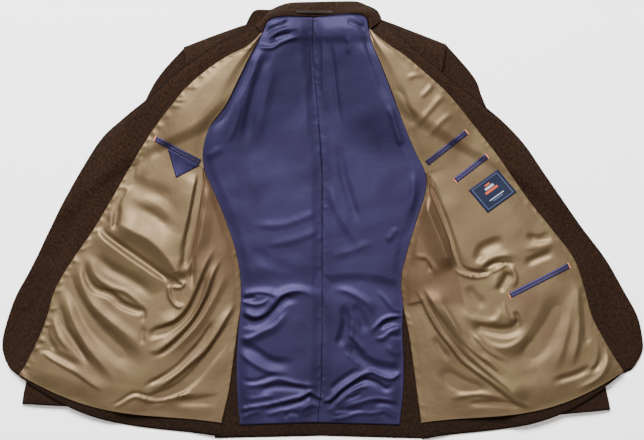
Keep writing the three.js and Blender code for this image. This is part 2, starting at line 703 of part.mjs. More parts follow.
// The collar: a stand that rises from the neckline to the fold, and a fall that lies under the neck.
function collar() {
  const seam = neckline();
  const last = seam.length - 1;
  const stand = seam.map(([half, x, y], index) => {
    const position = (index / last) * (FOLD_LINE.length - 1);
    const [foldX, foldY] = [at(FOLD_LINE, 'x', position), at(FOLD_LINE, 'y', position)];
    const length = Math.hypot(foldX - x, foldY - y);
    const seamLow = backLift(half, x, y);
    const foldLow = TWEED + SEAM + bed(half, foldX, foldY);
    return steps(STAND_GAP / length, 1, 4).map((t) => {
      const low = mix(seamLow, foldLow, t * t) + STAND_ARCH * Math.sin(Math.PI * t);
      return { x: mix(x, foldX, t), y: mix(y, foldY, t), low, high: low + TWEED };
    });
  });
  add('collar_stand', sheet(stand), 'tweed');
  const fall = steps(0, FALL.length - 1, 2 * (FALL.length - 1)).map((row) => [0, 0.5, 1].map((across) => ({
    x: mix(at(FALL, 'outerX', row), at(FALL, 'innerX', row), across),
    y: mix(at(FALL, 'outerY', row), at(FALL, 'innerY', row), across),
    low: 0,
    high: TWEED,
  })));
  add('collar_fall', sheet(fall), 'tweed');
  const loopSide = [0, LOOP_WIDTH];
  const arch = (t) => LOOP_LIFT + LOOP_SLACK * Math.sin(Math.PI * t);
  const loop = laidOn(stand, LOOP.from, between(LOOP.from, LOOP.to), () => loopSide, [8, 1], arch, LOOP_WALL);
  add('hanger_loop', sheet(loop), 'loop');
}

// A button with a raised rim, on the outer side of the front.
function button({ name, x, y }) {
  const profile = [
    [0, BUTTON_DISH], [0.6, BUTTON_DISH], [0.75, 0], [0.95, 0], [1, BUTTON_BEVEL],
    [1, BUTTON_THICKNESS - BUTTON_BEVEL], [0.94, BUTTON_THICKNESS], [0, BUTTON_THICKNESS],
  ].map(([share, height]) => new THREE.Vector2(share * BUTTON_RADIUS, height));
  const geometry = new THREE.LatheGeometry(profile, 20);
  geometry.rotateX(Math.PI / 2);
  geometry.translate(x, y, 0);
  add(name, geometry, 'horn');
}

['r', 'l'].forEach((side) => {
  back(side);
  sleeve(side);
  shoulder(side);
  front(side);
});
collar();
BUTTONS.forEach(button);

// Sets the origin under the middle of the outline.
const box = new THREE.Box3().setFromObject(body);
body.position.set(-(box.min.x + box.max.x) / 2, -(box.min.y + box.max.y) / 2, -box.min.z);

const blazer = new THREE.Group();
blazer.add(body);
export default blazer;
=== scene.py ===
"""A tweed blazer laid open on its outer side, with its satin linings up.

Sizes are millimetres in the tables and metres in the scene, +Z is up and the collar points to +Y.
Sides are the wearer's: r lies at -X and l at +X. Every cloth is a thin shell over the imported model's
own form, with the finer folds, seams, stitches and weaves added.
"""

import logging
import math
from dataclasses import dataclass, field
from enum import Enum
from typing import Sequence

import bpy
import numpy as np
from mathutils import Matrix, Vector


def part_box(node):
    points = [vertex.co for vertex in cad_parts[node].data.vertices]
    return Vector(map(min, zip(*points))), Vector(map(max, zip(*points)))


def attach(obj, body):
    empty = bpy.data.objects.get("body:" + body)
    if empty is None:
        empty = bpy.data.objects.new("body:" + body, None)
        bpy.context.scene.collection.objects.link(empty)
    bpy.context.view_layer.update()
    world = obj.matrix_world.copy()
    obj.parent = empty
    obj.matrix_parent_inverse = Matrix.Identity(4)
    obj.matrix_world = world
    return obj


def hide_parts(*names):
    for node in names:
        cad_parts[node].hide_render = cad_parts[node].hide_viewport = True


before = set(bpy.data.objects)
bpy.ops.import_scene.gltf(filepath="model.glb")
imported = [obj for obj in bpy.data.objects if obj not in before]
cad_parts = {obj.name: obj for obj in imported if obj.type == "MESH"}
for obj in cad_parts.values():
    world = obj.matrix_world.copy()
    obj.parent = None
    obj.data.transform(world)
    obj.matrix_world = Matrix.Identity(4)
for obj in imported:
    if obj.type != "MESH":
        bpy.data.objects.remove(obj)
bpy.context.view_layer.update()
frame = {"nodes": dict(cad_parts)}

logging.basicConfig(level=logging.INFO, format="%(message)s")
LOG = logging.getLogger("blazer")

BODY = "root"
MM = 0.001
SEED = 7

# Walls and clearances
TWEED = 1.8
SATIN = 1.0
LAPEL_PLIES = 2.6
SEAM = 0.3
HALF_SEAM = 0.05

# Hidden layers that lift the cloth above them
SLEEVE_HEIGHT = 7.4
SLEEVE_BED = 9.0
SLEEVE_SHELF = 6
SLEEVE_RAMP = 46
CROWN_CLEARANCE = 2
SHOULDER_CLEARANCE = 0.9
SHOULDER_RIM = 1.2
SHOULDER_BED = 18
SHOULDER_RAMP = 45
NECK_BED = 7.5
NECK_REACH = 70
LAPEL_EDGE_GAP = 1.0
LAPEL_SLACK = 2.4
LAPEL_SLACK_REACH = 12
LAPEL_SHELF = 8
LAPEL_RAMP = 38
VENT_SHELF = 26
VENT_RAMP = 58
DROOP_SKEW = 1.3
BUTTON_BED = 3.9
BUTTON_CLEAR = 30
BUTTON_RAMP = 34

# Rounded rise of the linings between their seams
FRONT_PUFF = 4.5
SIDE_PUFF = 2.5
BACK_PUFF = 4.0
PUFF_MARGIN = 45
PUFF_SHARE = 0.35
LINING_EASE = 1.3
EASE_MARGIN = 14

# Collar and its hanger loop
STAND_ARCH = 1.6
NECKLINE_BOW = 8
STAND_GAP = 1.3
FALL_START = 302
FALL_FULL = 318

# Sharpness of a pressed crest and how much of it shows, and how full the fronts' folds are
CREST_POWER = 1.9
CREST_SHARE = 0.6
FOLD_GAIN = 1.2
HOLLOW_GAIN = 1.8

# How the front and side linings join, and how far thin cloth bridges an edge below it
JOIN_ROWS = 2
CUT_EDGE = math.radians(60)
LINING_SPREAD = 2.8

# Small pieces
LIP_WIDTH = 4.2
LIP_MOUTH = 0.45
LIP_WALL = 0.9
LIP_LIFT = 0.8
LOOP_WIDTH = 5
LOOP_WALL = 1.0
BUTTON_RADIUS = 10

# Sections that start or end something
NECK_ROW = 0
FRONT_TOP = 1
LAPEL_TOP = 2
ARMPIT_ROW = 8
LAPEL_END = 10
LAPEL_GONE = 11
VENT_START = 13
VENT_ROW = 14
BACK_HEM_DROP = 1.5
LINING_HEM = 17
CLOTH_HEM = 18

# Cells of the fine grids
LINING_CELL = 2.5
TWEED_CELL = 5.0

Array = np.ndarray
Piece = bpy.types.Object
Material = bpy.types.Material
Socket = bpy.types.NodeSocket


class Side(Enum):
    """Side of the wearer."""

    RIGHT = "r"
    LEFT = "l"


class Panel(Enum):
    """Stretches of a front's section."""

    FORE = "forepart"
    FRONT = "front"
    SIDE = "side"
    FACING = "facing"


def mix(a: Array | float, b: Array | float, t: Array | float) -> Array | float:
    """Blends two values.

    Args:
        a: Value at t = 0.
        b: Value at t = 1.
        t: Part of the way.

    Returns:
        The blend.
    """
    return a + (b - a) * t


def smooth(x: Array | float, low: float, high: float) -> Array:
    """Rises smoothly from 0 at low to 1 at high.

    Args:
        x: Where to read the rise.
        low: Start of the rise.
        high: End of the rise.

    Returns:
        Values from 0 to 1.
    """
    t = np.clip((np.asarray(x, float) - low) / (high - low), 0.0, 1.0)
    return t * t * (3.0 - 2.0 * t)


class Sections:
    """Rows of numbers under named columns, read along a smooth curve through the rows."""

    def __init__(self, names: str, rows: Sequence[Sequence[float]]) -> None:
        """Keeps each column.

        Args:
            names: Column names, parted by spaces.
            rows: One row of numbers for each section.
        """
        self.columns = dict(zip(names.split(), np.array(rows, float).T))
        self.last = len(rows) - 1

    def at(self, name: str, position: Array | float) -> Array:
        """Reads a column at fractional rows.

        Args:
            name: Column to read.
            position: Row numbers, with fractions.

        Returns:
            The values there.
        """
        values = self.columns[name]
        position = np.asarray(position, float)
        index = np.minimum(np.floor(position).astype(int), self.last - 1)
        t = position - index
        a, b, c, d = (values[np.clip(index + step, 0, self.last)] for step in (-1, 0, 1, 2))
        bend = 2 * a - 5 * b + 4 * c - d
        twist = 3 * b - a - 3 * c + d
        return b + 0.5 * t * (c - a + t * (bend + t * twist))

    def point(self, row: Array, across: Array | float) -> tuple[Array, Array]:
        """Place on a strip's section: 0 at its outer edge, 1 at its inner one."""
        ends = ((self.at(f"outer_{axis}", row), self.at(f"inner_{axis}", row)) for axis in "xy")
        return tuple(mix(outer, inner, across) for outer, inner in ends)


def travelled(x: Array, y: Array) -> Array:
    """Distance along a line of places, from its first."""
    return np.concatenate([[0.0], np.cumsum(np.hypot(np.diff(x), np.diff(y)))])


def evenly(fine: Array, length: Array, count: int) -> Array:
    """Section numbers that part a length into equal pieces."""
    return np.interp(np.linspace(0, length[-1], count + 1), length, fine)


def listed(*parts: Array) -> Array:
    """Grids of numbers as columns, with one corner a row."""
    return np.stack([part.ravel() for part in parts], axis=1)


def ring_faces(index: Array) -> Array:
    """Faces between neighbouring closed rings of corner numbers, one ring a row."""
    after = np.roll(index, -1, axis=1)
    return np.stack([index[:-1], after[:-1], after[1:], index[1:]], axis=-1).reshape(-1, 4)


def tube(x: Array, y: Array, z: Array, run: Array, size: Array, sides: int) -> tuple[Array, Array]:
    """Upright rings of corners round a line, and the faces between them.

    Args:
        x: Places of the line across.
        y: Places of the line along.
        z: Heights of the line.
        run: The line's direction, a unit step across and along.
        size: Radius at each place.
        sides: Corners of each ring.

    Returns:
        The corners, one a row, and the faces.
    """
    turn = np.linspace(0, 2 * np.pi, sides, endpoint=False)
    ring_x = x[:, None] - (run[1] * size)[:, None] * np.cos(turn)
    ring_y = y[:, None] + (run[0] * size)[:, None] * np.cos(turn)
    ring_z = z[:, None] + size[:, None] * np.sin(turn)
    return listed(ring_x, ring_y, ring_z), ring_faces(np.arange(ring_x.size).reshape(ring_x.shape))


HALF_COLUMNS = "seam_x seam_y border_x border_y edge_x edge_y back_x back_y sag split vent lapel"
STRIP_COLUMNS = "outer_x outer_y inner_x inner_y"
RIGHT_HALF = Sections(HALF_COLUMNS, [
    (-96, 338, -97, 337, -105, 346, -110, 339, 0, 0, 0, 0),
    (-104, 320, -106, 322, -117, 334, -174, 321, 0, 0, 0, 20),
    (-115, 300, -130, 298, -142, 320, -234.5, 297, 0, 0, 0, 28),
    (-130, 271, -161, 282, -177, 304, -234, 269, 0, 0, 0, 50),
    (-146, 238, -196, 259, -215, 278, -229, 235, 0, 0, 0, 72),
    (-166, 197, -232, 228, -256, 249, -222, 195, 0, 0, 0, 84),
    (-194, 159, -263, 191, -299, 210, -215, 158, 0, 0, 0, 85),
    (-205, 121, -291, 155, -341, 176, -206, 121, 0, 0, 0, 76),
    (-203, 88, -314, 119, -378, 143, -203, 88, 0, 0.03, 0, 60),
    (-187, 50, -337, 81, -411, 93, -187, 50, 0, 0.14, 0, 36),
    (-168, 4, -363, 36, -442, 38, -168, 4, 0, 0.24, 0, 12),
    (-151, -46, -392, -13, -471, -20, -151, -46, 0, 0.31, 0, 12),
    (-142, -94, -430, -68, -502, -84, -142, -94, 0, 0.33, 0, 12),
    (-141, -142, -459, -118, -528, -132, -141, -142, 3, 0.33, 0, 12),
    (-147, -189, -474, -168, -544, -177, -147, -189, 7, 0.34, 2, 12),
    (-154, -240, -491, -209, -551, -211, -162, -241, 12, 0.35, 6, 12),
    (-162, -294, -508, -244, -547, -235, -171, -296, 17, 0.37, 15, 12),
    (-174, -347, -520, -264, -538, -253, -184, -350, 24, 0.4, 32, 12),
    (-175, -372, -516, -270, -535, -256, -186, -374, 29, 0.41, 40, 12),
])
LEFT_HALF = Sections(HALF_COLUMNS, [
    (76, 345, 77, 344, 92, 351, 98, 347, 0, 0, 0, 0),
    (79, 327, 82, 328, 101, 341, 160, 322, 0, 0, 0, 20),
    (86, 300, 112, 301, 128, 318, 207, 300, 0, 0, 0, 28),
    (98, 271, 141, 281, 155, 295, 205.5, 270, 0, 0, 0, 50),
    (111, 238, 174, 253, 188, 267, 190, 236, 0, 0, 0, 72),
    (126, 198, 208, 222, 229, 234, 164, 197, 0, 0, 0, 84),
    (141, 159, 238, 188, 274, 198.5, 141, 159, 0, 0, 0, 85),
    (159, 117, 267, 152, 314, 164.5, 159, 117, 0, 0, 0, 76),
    (176, 81, 294, 118, 348, 128, 176, 81, 0, 0.03, 0, 60),
    (176, 49, 320, 81, 375.5, 88, 176, 49, 0, 0.12, 0, 36),
    (162, 4, 353, 35, 406.5, 43, 162, 4, 0, 0.22, 0, 12),
    (147, -46, 391, -13, 444, -10, 147, -46, 0, 0.29, 0, 12),
    (135, -96, 430, -65, 486, -66, 135, -96, 0, 0.32, 0, 12),
    (138, -144, 448, -116, 517.5, -121, 138, -144, 3, 0.33, 0, 12),
    (147, -189, 460, -161, 541, -165, 147, -189, 7, 0.34, 10, 12),
    (155, -242, 480, -201, 550, -209, 163, -243, 12, 0.36, 16, 12),
    (162, -294, 499, -233, 547, -230, 172, -295, 19, 0.38, 24, 12),
    (169, -347, 515, -259, 535, -251, 181, -350, 28, 0.41, 37, 12),
    (170, -376, 509, -266, 530, -257, 184, -375, 33, 0.41, 42, 12),
])
CENTRE = Sections("x y", [
    (-17, 349), (-17, 326), (-17, 300), (-16, 271), (-13, 236), (-9, 197), (-6, 157), (-3, 116),
    (-1, 80), (-1, 45), (-1, -1), (-1, -51), (-1, -99), (-1, -147), (-1, -194), (-2, -244), (-3, -295),
    (-8, -347), (-1, -370),
])
RIGHT_SLEEVE = Sections(STRIP_COLUMNS, [
    (-240, 295, -207, 89),
    (-280, 250, -210, 35),
    (-307, 202, -218, -25),
    (-366, 69, -237, -82),
    (-426, -68, -273, -154),
    (-478, -180, -318, -223),
    (-509, -275, -361, -283),
    (-517, -315, -375, -322),
])
LEFT_SLEEVE = Sections(STRIP_COLUMNS, [
    (213, 301, 178, 90),
    (260, 246, 182, 35),
    (278, 202, 189, -25),
    (339, 69, 207, -82),
    (401, -68, 243, -154),
    (454, -180, 288, -223),
    (486, -288, 332, -290),
    (494, -325, 351, -338),
])
RIGHT_SHOULDER = Sections(STRIP_COLUMNS, [
    (-113, 339, -106, 327),
    (-133, 336.5, -117, 300),
    (-166, 325.5, -134, 262),
    (-203, 312, -153, 221),
    (-239.5, 298, -218.3, 166),
])
LEFT_SHOULDER = Sections(STRIP_COLUMNS, [
    (101, 345, 81, 328),
    (121, 338, 88, 300),
    (152, 326, 102, 262),
    (183, 314, 121, 221),
    (212, 303, 188.8, 166),
])
FOLD_LINE = Sections("x y", [
    (-117, 336), (-105, 345), (-94, 357), (-79, 368), (-55, 374), (-12, 376), (30, 376.5), (58, 375.5),
    (74, 369), (88, 360), (97, 348), (100, 342),
])
FALL = Sections(STRIP_COLUMNS, [
    (-133, 336, -114, 330), (-118, 361, -104, 331), (-91, 363, -85, 330), (-77, 369, -68, 329),
    (-55, 375, -48, 329), (-12, 376.5, -12, 329), (30, 377.5, 24, 329), (58, 377, 50, 329),
    (75, 371, 66, 330), (93, 362, 78, 331), (101, 348, 86, 331),
])


@dataclass(frozen=True)
class Button:
    """Where a front button sits."""

    name: str
    x: float
    y: float


BUTTONS = (Button("front_button_1", -447, -14), Button("front_button_2", -492, -112))


def distance_to_segment(x: Array, y: Array, a: Sequence[float], b: Sequence[float]) -> Array:
    """Distance from places to the straight piece between two points.

    Args:
        x: Places across.
        y: Places along.
        a: One end.
        b: The other end.

    Returns:
        The distances.
    """
    dx, dy = b[0] - a[0], b[1] - a[1]
    t = np.clip(((x - a[0]) * dx + (y - a[1]) * dy) / (dx * dx + dy * dy), 0, 1)
    return np.hypot(x - a[0] - t * dx, y - a[1] - t * dy)


def distance_outside(x: Array, y: Array, outline: Sequence[Sequence[float]]) -> Array:
    """Distance outside an outline, and zero within it.

    Args:
        x: Places across.
        y: Places along.
        outline: Its corners in order.

    Returns:
        The distances.
    """
    inside = np.zeros(np.shape(x), bool)
    nearest = np.full(np.shape(x), np.inf)
    for index, a in enumerate(outline):
        b = outline[(index + 1) % len(outline)]
        nearest = np.minimum(nearest, distance_to_segment(x, y, a, b))
        if a[1] == b[1]:
            continue
        crosses = (a[1] > y) != (b[1] > y)
        beyond = x < (b[0] - a[0]) * (y - a[1]) / (b[1] - a[1]) + a[0]
        inside ^= crosses & beyond
    return np.where(inside, 0.0, nearest)


def outline_of(strip: Sections) -> list[tuple[float, float]]:
    """Outline of a flat strip given by its outer and inner edges.

    Args:
        strip: The strip's sections.

    Returns:
        Its corners in order.
    """
    outer = list(zip(strip.columns["outer_x"], strip.columns["outer_y"]))
    inner = list(zip(strip.columns["inner_x"], strip.columns["inner_y"]))
    return outer + inner[::-1]


@dataclass
class Half:
    """One half of the body: its sections, what lies under it and where its cloth runs."""

    side: Side
    rows: Sections
    sleeve: Sections
    shoulder: Sections
    outward: int
    buttons: tuple[Button, ...] = ()

    def __post_init__(self) -> None:
        """Works out the outlines of what lies under the cloth."""
        self.sleeve_outline = outline_of(self.sleeve)
        self.shoulder_outline = outline_of(self.shoulder)

    def name(self, stem: str) -> str:
        """Name of one of this half's pieces."""
        return f"{stem}_{self.side.value}"

    def crown(self, x: Array, y: Array) -> Array:
        """Height of the cloth over the padded shoulder, lower towards the neck."""
        neck_x, neck_y = self.shoulder_outline[0]
        return mix(NECK_BED, SHOULDER_BED, smooth(np.hypot(x - neck_x, y - neck_y), 0, NECK_REACH))

    def bed(self, x: Array, y: Array, spread: float = 1.0) -> Array:
        """Height of the sleeve, shoulder and buttons that the cloth above lies on.

        Args:
            x: Places across.
            y: Places along.
            spread: How much further than the tweed a thin cloth bridges the edges below it.

        Returns:
            The heights there.
        """
        from_sleeve = distance_outside(x, y, self.sleeve_outline)
        sleeve = SLEEVE_BED * (1 - smooth(from_sleeve, SLEEVE_SHELF, SLEEVE_RAMP * spread))
        outside = distance_outside(x, y, self.shoulder_outline)
        shoulder = self.crown(x, y) * (1 - smooth(outside, 0, SHOULDER_RAMP * spread))
        height = np.sqrt(np.hypot(sleeve**2, shoulder**2))
        for button in self.buttons:
            away = np.hypot(x - button.x, y - button.y)
            clear = smooth(away, BUTTON_CLEAR, BUTTON_RAMP + BUTTON_CLEAR)
            height = np.maximum(height, BUTTON_BED * (1 - clear))
        return height

    def front_point(self, row: Array, across: Array) -> tuple[Array, Array]:
        """Point on a front's section: 0 at the side seam, 1 at the facing seam, 2 at the edge."""
        names = ("seam_x", "seam_y", "border_x", "border_y", "edge_x", "edge_y", "sag")
        seam_x, seam_y, border_x, border_y, edge_x, edge_y, sag = (self.rows.at(name, row) for name in names)
        dx, dy = border_x - seam_x, border_y - seam_y
        part = np.clip(across, 0, 1)
        droop = self.outward * sag * np.sin(np.pi * part**DROOP_SKEW) / np.maximum(np.hypot(dx, dy), 0.01)
        inner_x = seam_x + part * dx + droop * dy
        inner_y = seam_y + part * dy - droop * dx
        past = np.maximum(across - 1, 0)
        outer_x, outer_y = mix(border_x, edge_x, past), mix(border_y, edge_y, past)
        return np.where(across > 1, outer_x, inner_x), np.where(across > 1, outer_y, inner_y)

    def widths(self, row: Array) -> tuple[Array, Array]:
        """Lengths of a section: from seam to facing seam, and from there to the edge."""
        seam, border, edge = (self.front_point(row, np.full(np.shape(row), float(n))) for n in (0, 1, 2))
        panel = np.hypot(border[0] - seam[0], border[1] - seam[1])
        return panel, np.hypot(edge[0] - border[0], edge[1] - border[1])

    def from_edge(self, row: Array, across: Array) -> Array:
        """Distance of a place on a section from the front edge."""
        panel, facing = self.widths(row)
        return np.where(across > 1, (2 - across) * facing, facing + (1 - across) * panel)

    def front_base(self, row: Array, across: Array, spread: float = 1.0) -> tuple[Array, Array, Array]:
        """Bottom of the front's cloth, over the sleeve, the turned lapel and the vent."""
        x, y = self.front_point(row, across)
        away = self.from_edge(row, across)
        width = self.rows.at("lapel", row)
        length = smooth(row, FRONT_TOP, LAPEL_TOP) * (1 - smooth(row, LAPEL_END, LAPEL_GONE))
        plies = LAPEL_PLIES + 2 * SEAM + LAPEL_EDGE_GAP + LAPEL_SLACK * smooth(away, 0, LAPEL_SLACK_REACH)
        over = (away - width - LAPEL_SHELF) / (LAPEL_RAMP - LAPEL_SHELF)
        lapel = plies * length * (1 - smooth(over, 0, 1))
        from_seam = across * self.widths(row)[0]
        vent = (TWEED + 2 * SEAM) * smooth(row, VENT_START, VENT_ROW)
        vent = vent * (1 - smooth(from_seam, VENT_SHELF, VENT_RAMP))
        return x, y, self.bed(x, y, spread) + lapel + vent

    def panel_ends(self, row: Array, panel: Panel) -> tuple[Array, Array]:
        """Start and stop of a panel across a section, half a seam in from its neighbours."""
        width, facing = self.widths(row)
        inset = HALF_SEAM / np.maximum(width, 1)
        split = np.where(row < ARMPIT_ROW, 0.0, self.rows.at("split", row))
        edge = np.full(np.shape(row), 2.0)
        return {
            Panel.FORE: (split + inset, edge),
            Panel.FRONT: (split + inset, 1 - inset),
            Panel.SIDE: (inset, np.maximum(split - inset, inset)),
            Panel.FACING: (1 + HALF_SEAM / facing, edge),
        }[panel]

    def back_point(self, row: Array, across: Array) -> tuple[Array, Array]:
        """Place on the back lining: 0 at its side edge, 1 at the centre seam."""
        vent = np.maximum(0, self.rows.at("vent", row))
        edge_x = self.rows.at("seam_x", row) - self.outward * vent
        edge_y = self.rows.at("seam_y", row) - np.maximum(0, row - VENT_ROW) * BACK_HEM_DROP
        bow = NECKLINE_BOW * np.maximum(0, 1 - row) ** 2 * np.sin(np.pi * np.sqrt(np.clip(across, 0, 1)))
        return mix(edge_x, CENTRE.at("x", row), across), mix(edge_y, CENTRE.at("y", row), across) + bow

    def back_lift(self, x: Array, y: Array) -> Array:
        """Top of the back's cloth with a seam's clearance, over what lies on it."""
        return TWEED + SEAM + self.bed(x, y, LINING_SPREAD) + neck_lift(y)


def neck_lift(y: Array) -> Array:
    """Lift of the back's upper edge over the collar fall."""
    return (TWEED + SEAM) * smooth(y, FALL_START, FALL_FULL)


RIGHT = Half(Side.RIGHT, RIGHT_HALF, RIGHT_SLEEVE, RIGHT_SHOULDER, -1, BUTTONS)
LEFT = Half(Side.LEFT, LEFT_HALF, LEFT_SLEEVE, LEFT_SHOULDER, 1)
HALVES = (RIGHT, LEFT)


def packed_shift() -> tuple[float, float]:
    """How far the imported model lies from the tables, read at the first button."""
    low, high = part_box(BUTTONS[0].name)
    centre = (low + high) / 2 / MM
    return centre.x - BUTTONS[0].x, centre.y - BUTTONS[0].y


SHIFT = packed_shift()


@dataclass
class Grid:
    """Rows and columns of places on a cloth, with its low and high side."""

    x: Array
    y: Array
    low: Array
    high: Array

    def lengths(self) -> tuple[Array, Array]:
        """Distances across and along the cloth, measured on its low side."""
        across = np.hypot(np.diff(self.x, axis=1), np.diff(self.y, axis=1))
        along = np.hypot(np.diff(self.x, axis=0), np.diff(self.y, axis=0))
        u = np.concatenate([np.zeros((len(self.x), 1)), np.cumsum(across, axis=1)], axis=1)
        v = np.concatenate([np.zeros((1, self.x.shape[1])), np.cumsum(along, axis=0)], axis=0)
        return u, v


class Maker:
    """Makes finished pieces and puts them in the frame."""

    @staticmethod
    def mesh(name: str, points: Array, faces: Array, uv: Array | None = None) -> Piece:
        """Makes a smooth object from points in millimetres and faces of four corners.

        Args:
            name: Name of the piece.
            points: Corner places in the tables' millimetres.
            faces: Corner numbers of each face.
            uv: A place on the cloth for each corner, in millimetres.

        Returns:
            The new object.
        """
        data = bpy.data.meshes.new(name)
        places = (np.asarray(points, float) + (SHIFT[0], SHIFT[1], 0.0)) * MM
        data.vertices.add(len(places))
        data.vertices.foreach_set("co", places.astype(np.float32).ravel())
        faces = np.asarray(faces, np.int32)
        data.loops.add(faces.size)
        data.loops.foreach_set("vertex_index", faces.ravel())
        data.polygons.add(len(faces))
        data.polygons.foreach_set("loop_start", np.arange(len(faces), dtype=np.int32) * faces.shape[1])
        data.polygons.foreach_set("loop_total", np.full(len(faces), faces.shape[1], np.int32))
        data.polygons.foreach_set("use_smooth", np.ones(len(faces), bool))
        if uv is not None:
            layer = data.uv_layers.new(name="Cloth")
            layer.data.foreach_set("uv", (np.asarray(uv)[faces.ravel()] * MM).astype(np.float32).ravel())
        data.update(calc_edges=True)
        data.validate()
        piece = bpy.data.objects.new(name, data)
        bpy.context.scene.collection.objects.link(piece)
        return piece

    @staticmethod
    def shell(name: str, grid: Grid) -> Piece:
        """Makes a closed cloth wall over a grid.

        Args:
            name: Name of the piece.
            grid: Its places.

        Returns:
            The new object.
        """
        flat = listed(*grid.lengths())
        low, high = listed(grid.x, grid.y, grid.low), listed(grid.x, grid.y, grid.high)
        count = grid.x.size
        index = np.arange(count).reshape(grid.x.shape)
        a, b, c, d = index[:-1, :-1], index[:-1, 1:], index[1:, 1:], index[1:, :-1]
        bottom = np.stack([a, d, c, b], axis=-1).reshape(-1, 4)
        top = np.stack([a, b, c, d], axis=-1).reshape(-1, 4) + count
        rim = np.concatenate([index[0], index[1:, -1], index[-1, -2::-1], index[-2:0:-1, 0]])
        after = np.roll(rim, -1)
        wall = np.stack([rim, after, after + count, rim + count], axis=-1)
        faces = np.concatenate([bottom, top, wall])
        right = grid.x[0, -1] - grid.x[0, 0], grid.y[0, -1] - grid.y[0, 0]
        down = grid.x[-1, 0] - grid.x[0, 0], grid.y[-1, 0] - grid.y[0, 0]
        if right[0] * down[1] - right[1] * down[0] < 0:
            faces = faces[:, ::-1]
        return Maker.mesh(name, np.concatenate([low, high]), faces, np.concatenate([flat, flat]))


def along_curve(points: Sequence[Sequence[float]], per_span: int = 6) -> Array:
    """Points along a smooth curve through a few places.

    Args:
        points: The places in order.
        per_span: Pieces between two places.

    Returns:
        The curve's points, one a row.
    """
    line = Sections("x y", points)
    where = np.linspace(0, line.last, line.last * per_span + 1)
    return np.stack([line.at("x", where), line.at("y", where)], axis=1)


@dataclass(frozen=True)
class Fold:
    """A ridge (or a hollow, where height is below zero) along a curved line on the cloth.

    left and right are its widths on each side of the line, seen from its start; crisp sharpens the
    crest; start and stop are the parts of its length over which it rises and fades.
    """

    path: tuple[tuple[float, float], ...]
    height: float
    left: float
    right: float
    crisp: float = 1.0
    start: float = 0.3
    stop: float = 0.3

    def lift(self, x: Array, y: Array) -> Array:
        """Height that this fold adds at places on the cloth."""
        line = along_curve(self.path)
        length = travelled(*line.T)
        length = length / length[-1]
        nearest = np.full(x.shape, np.inf)
        side = np.zeros(x.shape)
        place = np.zeros(x.shape)
        for index, (a, b) in enumerate(zip(line[:-1], line[1:])):
            dx, dy = b - a
            t = np.clip(((x - a[0]) * dx + (y - a[1]) * dy) / (dx * dx + dy * dy), 0, 1)
            away_x, away_y = x - a[0] - t * dx, y - a[1] - t * dy
            away = np.hypot(away_x, away_y)
            closer = away < nearest
            nearest = np.where(closer, away, nearest)
            side = np.where(closer, np.sign(dx * away_y - dy * away_x), side)
            place = np.where(closer, mix(length[index], length[index + 1], t), place)
        width = np.where(side > 0, self.left, self.right)
        away = np.minimum(nearest / width, 1)
        bell = (1 - smooth(away, 0, 1)) ** self.crisp
        if self.height > 0:
            bell = mix(bell, (1 - away) ** CREST_POWER, CREST_SHARE)
        ends = smooth(place, 0, self.start) * (1 - smooth(place, 1 - self.stop, 1))
        return self.height * ends * bell


def read_folds(table: str) -> tuple[Fold, ...]:
    """Reads a table of folds.

    Args:
        table: A line for each fold: its height, left, right, crisp, start and stop (the last of them may
            be left out), a bar, and its places as x,y in millimetres. A line with no bar is a heading.

    Returns:
        The folds in order.
    """
    folds = []
    for line in table.splitlines():
        sizes, bar, places = line.partition("|")
        if bar:
            path = tuple(tuple(float(part) for part in place.split(",")) for place in places.split())
            folds.append(Fold(path, *(float(size) for size in sizes.split())))
    return tuple(folds)


@dataclass(frozen=True)
class Ripple:
    """Soft waves over the cloth with no direction of their own."""

    height: float
    length: float
    seed: int
    waves: int = 9

    def lift(self, x: Array, y: Array) -> Array:
        """Height of the waves at places on the cloth."""
        chance = np.random.default_rng(SEED + self.seed)
        total = np.zeros(np.shape(x))
        for _ in range(self.waves):
            turn = chance.uniform(0, 2 * math.pi)
            length = self.length * chance.uniform(0.7, 1.5)
            phase = chance.uniform(0, 2 * math.pi)
            total += np.sin((x * math.cos(turn) + y * math.sin(turn)) * 2 * math.pi / length + phase)
        return self.height * total / math.sqrt(self.waves)


@dataclass(frozen=True)
class Pucker:
    """Short gathers across a seam, uneven in length and spacing."""

    spacing: float
    height: float
    reach: float
    seed: int

    def lift(self, away: Array, along: Array) -> Array:
        """Height of the gathers.

        Args:
            away: Distance from the seam.
            along: Distance along the seam.

        Returns:
            The heights there.
        """
        chance = np.random.default_rng(SEED + self.seed)
        total = np.zeros(np.shape(away))
        place = float(np.min(along))
        while place < float(np.max(along)):
            place += self.spacing * chance.uniform(0.45, 1.8)
            width = self.spacing * chance.uniform(0.25, 0.5)
            strength = chance.uniform(0.25, 1.0)
            reach = self.reach * chance.uniform(0.5, 1.3)
            lean = chance.uniform(-0.5, 0.5)
            ridge = np.exp(-(((along - place - lean * away) / width) ** 2))
            total += strength * ridge * (1 - smooth(away, 0.25 * reach, reach))
        return self.height * total * smooth(away, 0, 2)


def lifted(shapes: Sequence[Fold | Ripple | Pucker], first: Array, second: Array) -> Array:
    """Height that all of some shapes add at places on the cloth."""
    return sum((shape.lift(first, second) for shape in shapes), np.zeros(first.shape))


def even_rows(half: Half, start: float, stop: float, cell: float) -> Array:
    """Section numbers spaced by about one cell along the middle of a half."""
    fine = np.linspace(start, stop, 400)
    x, y = half.front_point(fine, np.full(fine.shape, 0.5))
    length = travelled(x, y)
    return evenly(fine, length, max(2, int(round(length[-1] / cell))))


